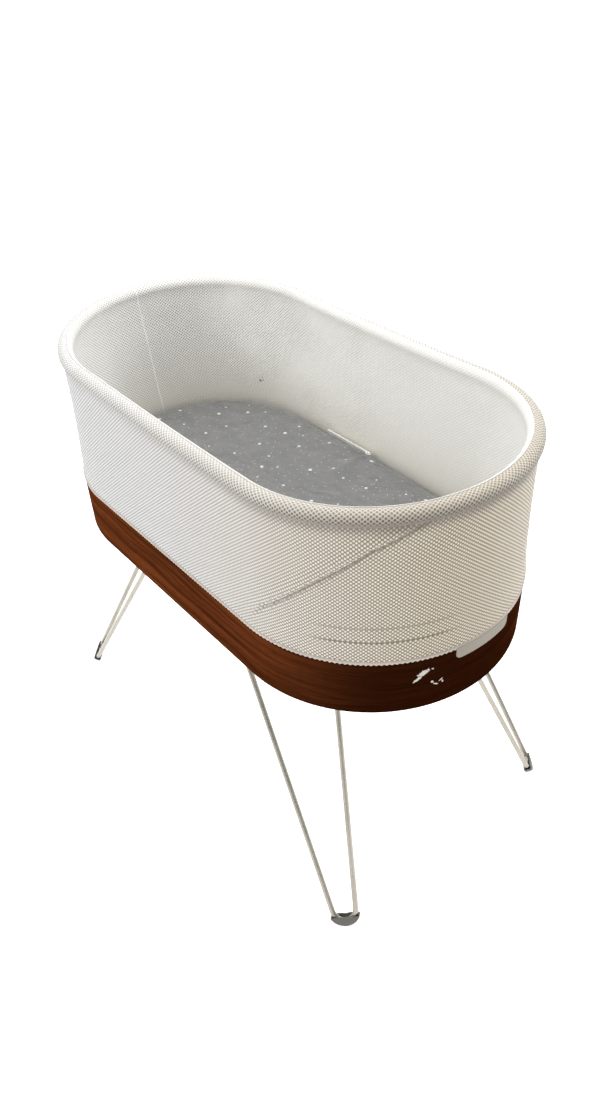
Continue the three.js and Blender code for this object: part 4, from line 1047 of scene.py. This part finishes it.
def scalloped_hem():
    """The cut edge of the mesh over the band's top edge: one small tooth at every hole."""
    columns = 2 * mesh_holes()
    out = BAND_OFFSET + LAID_ON
    section = [(out, BAND_TOP - 0.0006), (out, BAND_TOP + 0.0012), (out - 0.0016, BAND_TOP + 0.0030)]
    bm = strip(section, columns)
    for vert in bm.verts:
        count = round((vert.co.x + AROUND / 2) / (AROUND / columns))
        if vert.co.z < BAND_TOP and count % 2:
            vert.co.z -= TOOTH_LENGTH
    bend_round(bm)
    outwards(bm)
    edge = plain("cut_polyester_edge", "B5ABA0", 0.85, 0.001, 0.0001, 0.12)
    made = piece("scalloped_hem", bm, "frame", "spacer_mesh", material=edge, crease=180)
    thicken(made, HEM_THICKNESS, 1)
    return made


LINER_FACE = [(-0.0064, 0.5), (-0.0064, 0.56), (-0.008, 0.64), (-0.0094, 0.71), (-0.0117, 0.769)]
LINER_START, LINER_END = 201, 112  # where it meets the roll and where it ends, in degrees
LINER_LAP = 0.0011  # how far it lies off the roll's own radius


def liner():
    """The inner wall's knitted liner, with one upright seam at the head end."""
    section = []
    for (out0, z0), (out1, z1) in zip(LINER_FACE, LINER_FACE[1:]):
        steps = max(round((z1 - z0) / 0.01), 1)
        shares = [i / steps for i in range(steps)]
        section += [(out0 + (out1 - out0) * share, z0 + (z1 - z0) * share) for share in shares]
    section += arc(RIM_RADIUS + LINER_LAP, LINER_START, LINER_END, 12, (0, RIM_HEIGHT))
    bm = strip(section, WALL_COLUMNS)
    for vert in bm.verts:
        way, out, z = vert.co
        calm = clamped((z - 0.55) / 0.04) * clamped((0.765 - z) / 0.03)
        slack = 0.0012 * noise.noise(Vector((*plan(way, 0.3), z)) * 7)
        slack += 0.0005 * noise.noise(Vector((*plan(way, 0.3), z)) * 20)
        vert.co.y += calm * slack
    bend_round(bm)
    outwards(bm)
    bmesh.ops.reverse_faces(bm, faces=bm.faces)
    made = piece("knitted_liner", bm, "frame", "liner_mesh", ["inner_liner"], knitted_liner(), 180)
    thicken(made, sizes().liner_thickness)


def rim_foam():
    """The foam sleeve round the rim's hoop, slotted below where the posts enter it."""
    outer, inner, half_slot = 0.0101, 0.0068, 0.0037
    gaps = [math.degrees(math.asin(half_slot / r)) for r in (outer, inner)]
    section = arc(outer, gaps[0] - 90, 270 - gaps[0], 18, (0, RIM_HEIGHT))
    section += arc(inner, 270 - gaps[1], gaps[1] - 90, 14, (0, RIM_HEIGHT))
    bm = strip(section, 160, closed=True)
    bend_round(bm)
    made = piece("rim_foam_sleeve", bm, "frame", "rim_foam", ["rim_sleeve"])


TAB_CORNER = 0.0085
TAB_BORDER = 0.0022  # width of its raised border
TAB_THICKNESS = 0.0013
TAB_SUNK = 0.00035  # how far the field inside the border lies lower


def tab():
    """The soft tab that hangs over the band's top edge, with a raised border."""
    low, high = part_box("label_tab")
    side = RIM_WIDTH + BAND_OFFSET
    first, last = (math.asin(edge / side) * QUARTER * 2 / math.pi for edge in (low.y, high.y))
    out = BAND_OFFSET + LAID_ON
    bm = bmesh.new()
    middle = Matrix.Translation(((first + last) / 2, out, (low.z + high.z) / 2))
    size = Matrix.Diagonal(((last - first) / 2, 1, (high.z - low.z) / 2, 1))
    place = middle @ size @ Matrix.Rotation(math.pi / 2, 4, "X")
    bmesh.ops.create_grid(bm, x_segments=1, y_segments=1, size=1, matrix=place)
    corners = [v for v in bm.verts if v.co.z < low.z + 1e-5]
    bmesh.ops.bevel(
        bm, geom=corners, offset=TAB_CORNER, segments=8, affect="VERTICES", profile=0.5, material=-1
    )
    cuts = 24
    for step in range(1, cuts):
        cut = {"plane_co": (first + (last - first) * step / cuts, 0, 0), "plane_no": (1, 0, 0)}
        bmesh.ops.bisect_plane(bm, geom=everything(bm), **cut)
    bmesh.ops.inset_region(bm, faces=bm.faces, thickness=TAB_BORDER, use_even_offset=True)
    field = [f for f in bm.faces if all(not e.is_boundary for v in f.verts for e in v.link_edges)]
    bmesh.ops.inset_region(bm, faces=field, thickness=0.0004, depth=0)
    for vert in {v for f in field for v in f.verts}:
        vert.co.y -= TAB_SUNK
    for vert in bm.verts:
        vert.co.y += TAB_THICKNESS
    pulled = bmesh.ops.extrude_face_region(bm, geom=bm.faces[:])["geom"]
    for vert in verts_of(pulled):
        vert.co.y = out
    bend_round(bm)
    piece("soft_tab", bm, "frame", "tab_silicone", ["label_tab"], crease=35)


BUTTON_EDGE = 0.0015  # rounding of the button's edge
BUTTON_DISH = 0.0012  # how deep its face is dished
RING_EDGE, RING_INNER_EDGE = 0.0008, 0.0006
BUTTON_ROOM = 0.00035  # between the button and its ring


def controls():
    """The dished control button, and the opal ring round it."""
    face = BUTTON_LOW.x
    flat_radius = BUTTON_RADIUS - BUTTON_EDGE
    dish = [(0.0, face + BUTTON_DISH), (0.004, face + 0.0010), (BUTTON_RADIUS - 0.003, face + 0.0001)]
    for angle in (0.2, 0.8, 1.57):
        rise = BUTTON_EDGE * (1 - math.cos(angle))
        dish.append((flat_radius + BUTTON_EDGE * math.sin(angle), face + rise))
    dish += [(BUTTON_RADIUS, BUTTON_HIGH.x), (0.0, BUTTON_HIGH.x)]
    turned("dished_button", dish, "button", "white_plastic", "control_button")
    inner, face, back = BUTTON_RADIUS + BUTTON_ROOM, RING_LOW.x, RING_HIGH.x
    lens = [(inner, back), (inner, face + RING_INNER_EDGE), (inner + RING_INNER_EDGE, face)]
    lens += [(RING_RADIUS - RING_EDGE, face), (RING_RADIUS, face + RING_EDGE), (RING_RADIUS, back)]
    turned("opal_ring", lens + lens[:1], "frame", "light_diffuser", "light_ring")


def turned(name, outline, body, slot, node):
    """A piece turned round the button's axis, along X; the outline is (radius, x)."""
    middle = Vector((0, 0, BUTTON_HEIGHT))
    bm = bmesh.new()
    row = [bm.verts.new(middle + Vector((x, 0, radius))) for radius, x in outline]
    edges = [bm.edges.new(pair) for pair in zip(row, row[1:])]
    bmesh.ops.spin(
        bm, geom=row + edges, cent=middle, axis=(1, 0, 0), angle=math.tau, steps=64, use_merge=True
    )
    bmesh.ops.remove_doubles(bm, verts=bm.verts, dist=1e-6)
    bmesh.ops.recalc_face_normals(bm, faces=bm.faces)
    piece(name, bm, body, slot, [node], crease=40)


class BASSINET_OT_band(bpy.types.Operator):
    """The walnut band and the soft tab that hangs on it"""

    bl_idname = "bassinet.band"
    bl_label = "Walnut band and tab"

    def execute(self, context):
        veneer_band()
        tab()
        return {"FINISHED"}


class BASSINET_OT_controls(bpy.types.Operator):
    """The control button and its light ring at the head end"""

    bl_idname = "bassinet.controls"
    bl_label = "Button and light ring"

    def execute(self, context):
        controls()
        return {"FINISHED"}


class BASSINET_OT_walls(bpy.types.Operator):
    """The outer mesh wall with its hem, the foam under its roll, and the knitted liner"""

    bl_idname = "bassinet.walls"
    bl_label = "Mesh wall and liner"

    def execute(self, context):
        rim_foam()
        wrapped_mesh()
        liner()
        return {"FINISHED"}


# ---- mattress, sheet and clips -------------------------------------------------------------------

PAD_VOXEL = 0.006
PAD_CAP = 0.003  # how far the foam may swell
PAD_ROOM, PAD_LIFT, PAD_DROP = 0.0015, 0.0016, 0.0026  # room left for it round, under and over
PAD_EDGE, PAD_LOW_EDGE = 0.009, 0.004  # rounding of its upper and its lower edge
PAD_PRESSURE, PAD_FRAMES = 4, 20
TURNED_UNDER = 0.025  # how far the sheet goes in under the mattress
UNDERSIDE = 0.012  # how much of the foam's height counts as its underside

# One crease of the sheet on each line: its two ends, its height at the first, its half width
SHEET_CREASES = [
    ((-0.008, 0.203), (0.004, 0.086), 0.0060, 0.0110),
    ((-0.008, 0.203), (-0.045, 0.120), -0.0033, 0.0080),
    ((-0.012, 0.203), (-0.087, 0.172), 0.0045, 0.0080),
    ((-0.110, 0.196), (-0.020, 0.190), 0.0042, 0.0060),
    ((0.000, 0.203), (0.060, 0.150), 0.0039, 0.0090),
    ((0.010, 0.200), (0.155, 0.190), 0.0036, 0.0080),
    ((0.072, 0.175), (0.150, 0.120), 0.0024, 0.0110),
    ((-0.246, 0.114), (-0.264, 0.067), -0.0030, 0.0070),
    ((-0.288, 0.166), (-0.262, 0.150), -0.0036, 0.0060),
    ((0.013, 0.045), (0.067, 0.078), 0.0021, 0.0040),
    ((-0.180, 0.020), (-0.060, -0.020), 0.0018, 0.0150),
    ((-0.100, -0.185), (0.020, -0.140), 0.0039, 0.0110),
    ((0.020, -0.200), (0.060, -0.120), 0.0033, 0.0100),
    ((0.250, -0.060), (0.330, 0.020), 0.0024, 0.0120),
]


def foam_pad():
    """The foam mattress: an oval slab with eased edges, swollen by a short cloth simulation."""
    bottom, top = MATTRESS_LOW.z + PAD_LIFT, MATTRESS_HIGH.z - PAD_DROP
    bm = oval_disc(MATTRESS_OFFSET - PAD_ROOM, bottom, 128)
    pulled = bmesh.ops.extrude_face_region(bm, geom=bm.faces[:])["geom"]
    bmesh.ops.translate(bm, verts=verts_of(pulled), vec=(0, 0, top - bottom))
    bmesh.ops.recalc_face_normals(bm, faces=bm.faces)
    upper = [e for e in sharp_edges(bm) if min(v.co.z for v in e.verts) > top - 1e-5]
    lower = [e for e in sharp_edges(bm) if max(v.co.z for v in e.verts) < bottom + 1e-5]
    rounded(bm, upper, PAD_EDGE, 5)
    rounded(bm, lower, PAD_LOW_EDGE, 3)
    made = piece("foam_mattress", bm, "platform", "rim_foam", ["mattress"], crease=180)
    remesh = made.modifiers.new("Even", "REMESH")
    remesh.mode, remesh.voxel_size = "VOXEL", PAD_VOXEL
    apply_modifiers(made)
    swell(made, PAD_CAP)
    made.data.shade_smooth()
    return made


def swell(made, cap):
    """Blows a closed mesh up like a stuffed cover, and holds each point to within the cap."""
    before = [v.co.copy() for v in made.data.vertices]
    cloth = made.modifiers.new("Cloth", "CLOTH")
    cloth.settings.use_pressure = True
    cloth.settings.uniform_pressure_force = PAD_PRESSURE
    cloth.settings.effector_weights.gravity = 0
    scene = bpy.context.scene
    for number in range(1, PAD_FRAMES + 1):
        scene.frame_set(number)
    graph = bpy.context.evaluated_depsgraph_get()
    after = [v.co.copy() for v in made.evaluated_get(graph).data.vertices]
    made.modifiers.clear()
    for vert, old, new in zip(made.data.vertices, before, after):
        move = new - old
        move.length = min(move.length, cap)
        vert.co = old + move
    scene.frame_set(1)


def crease_height(x, y):
    """How far the sheet stands up: its creases, which die away and widen, and slack everywhere."""
    total = 0.0014 * noise.noise(Vector((x * 12, y * 12, 2.0)))
    total += 0.0010 * noise.noise(Vector((x * 35, y * 22, 5.0)))
    for (x0, y0), (x1, y1), height, width in SHEET_CREASES:
        along, arm = Vector((x1 - x0, y1 - y0)), Vector((x - x0, y - y0))
        share = clamped(arm.dot(along) / along.length_squared)
        away = (arm - along * share).length
        total += height * (1 - share) ** 0.6 * bump(away, width * (0.5 + share))
    return total


def fitted_sheet(pad):
    """The jersey sheet pulled over the mattress and turned under its edge."""
    bm = bmesh.new()
    bm.from_mesh(pad.data)
    bmesh.ops.subdivide_edges(bm, edges=bm.edges[:], cuts=1, use_grid_fill=True)
    bmesh.ops.smooth_vert(
        bm, verts=bm.verts[:], factor=0.5, use_axis_x=True, use_axis_y=True, use_axis_z=True
    )
    hidden = []
    for face in bm.faces:
        x, y, z = face.calc_center_median()
        past = max(abs(x) - SIDE, 0)
        inside = math.hypot(past * RIM_WIDTH / END, y) < RIM_WIDTH + MATTRESS_OFFSET - TURNED_UNDER
        if inside and z < MATTRESS_LOW.z + UNDERSIDE:
            hidden.append(face)
    bmesh.ops.delete(bm, geom=hidden, context="FACES")
    bm.normal_update()
    for vert in bm.verts:
        flat_top = max(vert.normal.z, 0) ** 2
        stand = 0.0004 + flat_top * (0.0012 + crease_height(vert.co.x, vert.co.y))
        vert.co += vert.normal * max(stand, 0.0003)
    jersey = printed_jersey()
    made = piece("fitted_sheet", bm, "platform", "jersey_sheet", material=jersey, crease=180)
    thicken(made, sizes().sheet_thickness, 1)


CLIP_WALL = 0.0020
CLIP_LAP = 0.0003  # how far the bead at its top stands in from the wall
CLIP_FOOT = 0.0032  # how far its foot reaches in under the mattress
CLIP_EASE = 0.0007
LOOP_RADIUS, LOOP_THICKNESS = 0.0030, 0.0009


def clip(name, side):
    """A moulded clip: a wall beside the mattress with a bead along its top and a foot under it."""
    low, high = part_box(name)
    inner = RIM_WIDTH + MATTRESS_OFFSET + 0.0005
    outer, foot = inner + CLIP_WALL, inner - CLIP_FOOT
    top, foot_top = high.z - 0.0022, low.z + 0.002
    section = [(inner - CLIP_LAP, top - CLIP_WALL), (inner - 0.0001, top - CLIP_WALL)]
    section += [(inner, foot_top), (foot, foot_top), (foot, low.z)]
    section += [(outer, low.z), (outer, top), (inner - CLIP_LAP, top)]
    bm = bmesh.new()
    face = bm.faces.new([bm.verts.new((low.x, side * y, z)) for y, z in section])
    pulled = bmesh.ops.extrude_face_region(bm, geom=[face])["geom"]
    bmesh.ops.translate(bm, verts=verts_of(pulled), vec=(high.x - low.x, 0, 0))
    bmesh.ops.recalc_face_normals(bm, faces=bm.faces)
    rounded(bm, sharp_edges(bm), CLIP_EASE, 3)
    piece(name + "_moulding", bm, "platform", "white_plastic", [name], crease=35)


def clip_loop(name, node, side):
    """A stitched elastic loop at the clip's foot-side end, which holds the sheet's edge down."""
    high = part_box(node)[1]
    y = side * (RIM_WIDTH + MATTRESS_OFFSET - 0.0045)
    centre = Vector((high.x - 0.001, y, high.z - 0.0014))
    bm = bmesh.new()
    level_ring(bm, centre, LOOP_RADIUS, LOOP_THICKNESS, 10, 24)
    bmesh.ops.scale(bm, verts=bm.verts[:], vec=(1.5, 0.8, 1), space=Matrix.Translation(-centre))
    bmesh.ops.recalc_face_normals(bm, faces=bm.faces)
    piece(name, bm, "platform", "white_plastic")


class BASSINET_OT_mattress(bpy.types.Operator):
    """The foam mattress and the printed sheet pulled over it"""

    bl_idname = "bassinet.mattress"
    bl_label = "Mattress and sheet"

    def execute(self, context):
        fitted_sheet(foam_pad())
        return {"FINISHED"}


class BASSINET_OT_clips(bpy.types.Operator):
    """The two clips beside the mattress"""

    bl_idname = "bassinet.clips"
    bl_label = "Swaddle clips"

    def execute(self, context):
        for name, side in (("right", 1), ("left", -1)):
            clip("swaddle_clip_" + name, side)
            clip_loop("clip_loop_" + name, "swaddle_clip_" + name, side)
        return {"FINISHED"}


# ---- finishes of the frame's own pieces ----------------------------------------------------------


# slots whose pieces are all made here, each with a material of its own
OWN_FINISH = ("walnut_veneer", "spacer_mesh", "liner_mesh", "jersey_sheet")


class BASSINET_OT_finishes(bpy.types.Operator):
    """Makes the shared finishes and gives each piece of the frame its own"""

    bl_idname = "bassinet.finishes"
    bl_label = "Finishes"

    def execute(self, context):
        make_finishes()
        for part in frame["record"]["subparts"]:
            slot = part.get("material_slot") or part.get("material")
            if slot in OWN_FINISH:
                continue
            mesh = frame["nodes"][part["node"]].data
            for index in range(len(mesh.materials)):
                mesh.materials[index] = FINISHES[slot]
        return {"FINISHED"}


# ---- the stage -----------------------------------------------------------------------------------

TARGET = Vector((-0.0184, 0.0620, 0.3888))
AZIMUTH, ELEVATION, ROLL = math.radians(51.34), math.radians(38.26), -0.0398
DISTANCE, LENS = 1.6075, 27.81
WHITE = (1, 1, 1, 1)
GLOW = 0.6  # how strongly the floor and the world shine of themselves


def camera():
    level = math.cos(ELEVATION)
    back = Vector((math.sin(AZIMUTH) * level, -math.cos(AZIMUTH) * level, math.sin(ELEVATION)))
    made = bpy.data.objects.new("Camera", bpy.data.cameras.new("Camera"))
    bpy.context.scene.collection.objects.link(made)
    made.data.lens = LENS
    made.data.clip_end = 30
    turn = (-back).to_track_quat("-Z", "Y").to_matrix().to_4x4() @ Matrix.Rotation(ROLL, 4, "Z")
    made.matrix_world = Matrix.Translation(TARGET + back * DISTANCE) @ turn
    bpy.context.scene.camera = made


def softbox(name, place, aim, size, power):
    lamp = bpy.data.lights.new(name, "AREA")
    lamp.shape, lamp.size, lamp.size_y = "RECTANGLE", *size
    lamp.energy = power
    made = bpy.data.objects.new(name, lamp)
    bpy.context.scene.collection.objects.link(made)
    turn = (Vector(aim) - Vector(place)).to_track_quat("-Z", "Y").to_matrix().to_4x4()
    made.matrix_world = Matrix.Translation(place) @ turn


class BASSINET_OT_stage(bpy.types.Operator):
    """A pale floor, soft studio light and the camera"""

    bl_idname = "bassinet.stage"
    bl_label = "Stage"

    def execute(self, context):
        bm = bmesh.new()
        bmesh.ops.create_grid(bm, x_segments=1, y_segments=1, size=40)
        mesh = bpy.data.meshes.new("floor")
        bm.to_mesh(mesh)
        bm.free()
        floor = bpy.data.objects.new("floor", mesh)
        context.scene.collection.objects.link(floor)
        material, tree, shader = start(
            "pale_matt_floor", Roughness=0.9, Emission_Color=WHITE, Emission_Strength=GLOW
        )
        cloud = mottle(tree, add(tree, "TexCoord", output="Object"), 1.5, 2)
        tone = add(tree, "Mix", {0: cloud, 6: "FCFCFC", 7: "FFFFFF"}, **COLOURS)
        tree.links.new(tone, shader.inputs["Base Color"])
        mesh.materials.append(material)
        world = bpy.data.worlds.new("studio")
        world.use_nodes = True
        sky = world.node_tree.nodes["Background"]
        sky.inputs["Color"].default_value = WHITE
        sky.inputs["Strength"].default_value = GLOW
        context.scene.world = world
        softbox("key", (-0.9, -2.9, 2.7), (0, 0.1, 0.6), (2.2, 1.6), 48)
        softbox("fill", (0.5, 2.6, 2.8), (-0.2, -0.1, 0.6), (2.2, 1.6), 62)
        softbox("overhead", (-0.1, 0.1, 2.9), (0, 0, 0.5), (2.4, 2.0), 48)
        camera()
        context.scene.view_settings.view_transform = "Standard"
        return {"FINISHED"}


# ---- panel, registration and run -----------------------------------------------------------------

OPERATORS = (
    BASSINET_OT_finishes,
    BASSINET_OT_stage,
    BASSINET_OT_legs,
    BASSINET_OT_foot_caps,
    BASSINET_OT_band,
    BASSINET_OT_controls,
    BASSINET_OT_walls,
    BASSINET_OT_mattress,
    BASSINET_OT_clips,
)


class BASSINET_PT_build(bpy.types.Panel):
    """Lists the bassinet's sizes, colours and pieces"""

    bl_label = "Bassinet"
    bl_space_type = "VIEW_3D"
    bl_region_type = "UI"
    bl_category = "Bassinet"

    def draw(self, context):
        for group in (context.scene.bassinet_sizes, context.scene.bassinet_colours):
            box = self.layout.box()
            for name in group.__annotations__:
                box.prop(group, name)
        for operator in OPERATORS:
            self.layout.operator(operator.bl_idname)


CLASSES = (BassinetSizes, BassinetColours, *OPERATORS, BASSINET_PT_build)


def register():
    for each in CLASSES:
        bpy.utils.register_class(each)
    bpy.types.Scene.bassinet_sizes = bpy.props.PointerProperty(type=BassinetSizes)
    bpy.types.Scene.bassinet_colours = bpy.props.PointerProperty(type=BassinetColours)


def unregister():
    del bpy.types.Scene.bassinet_colours
    del bpy.types.Scene.bassinet_sizes
    for each in reversed(CLASSES):
        bpy.utils.unregister_class(each)


def main():
    register()
    for operator in OPERATORS:
        getattr(bpy.ops.bassinet, operator.bl_idname.split(".")[1])()


if __name__ == "__main__":
    main()
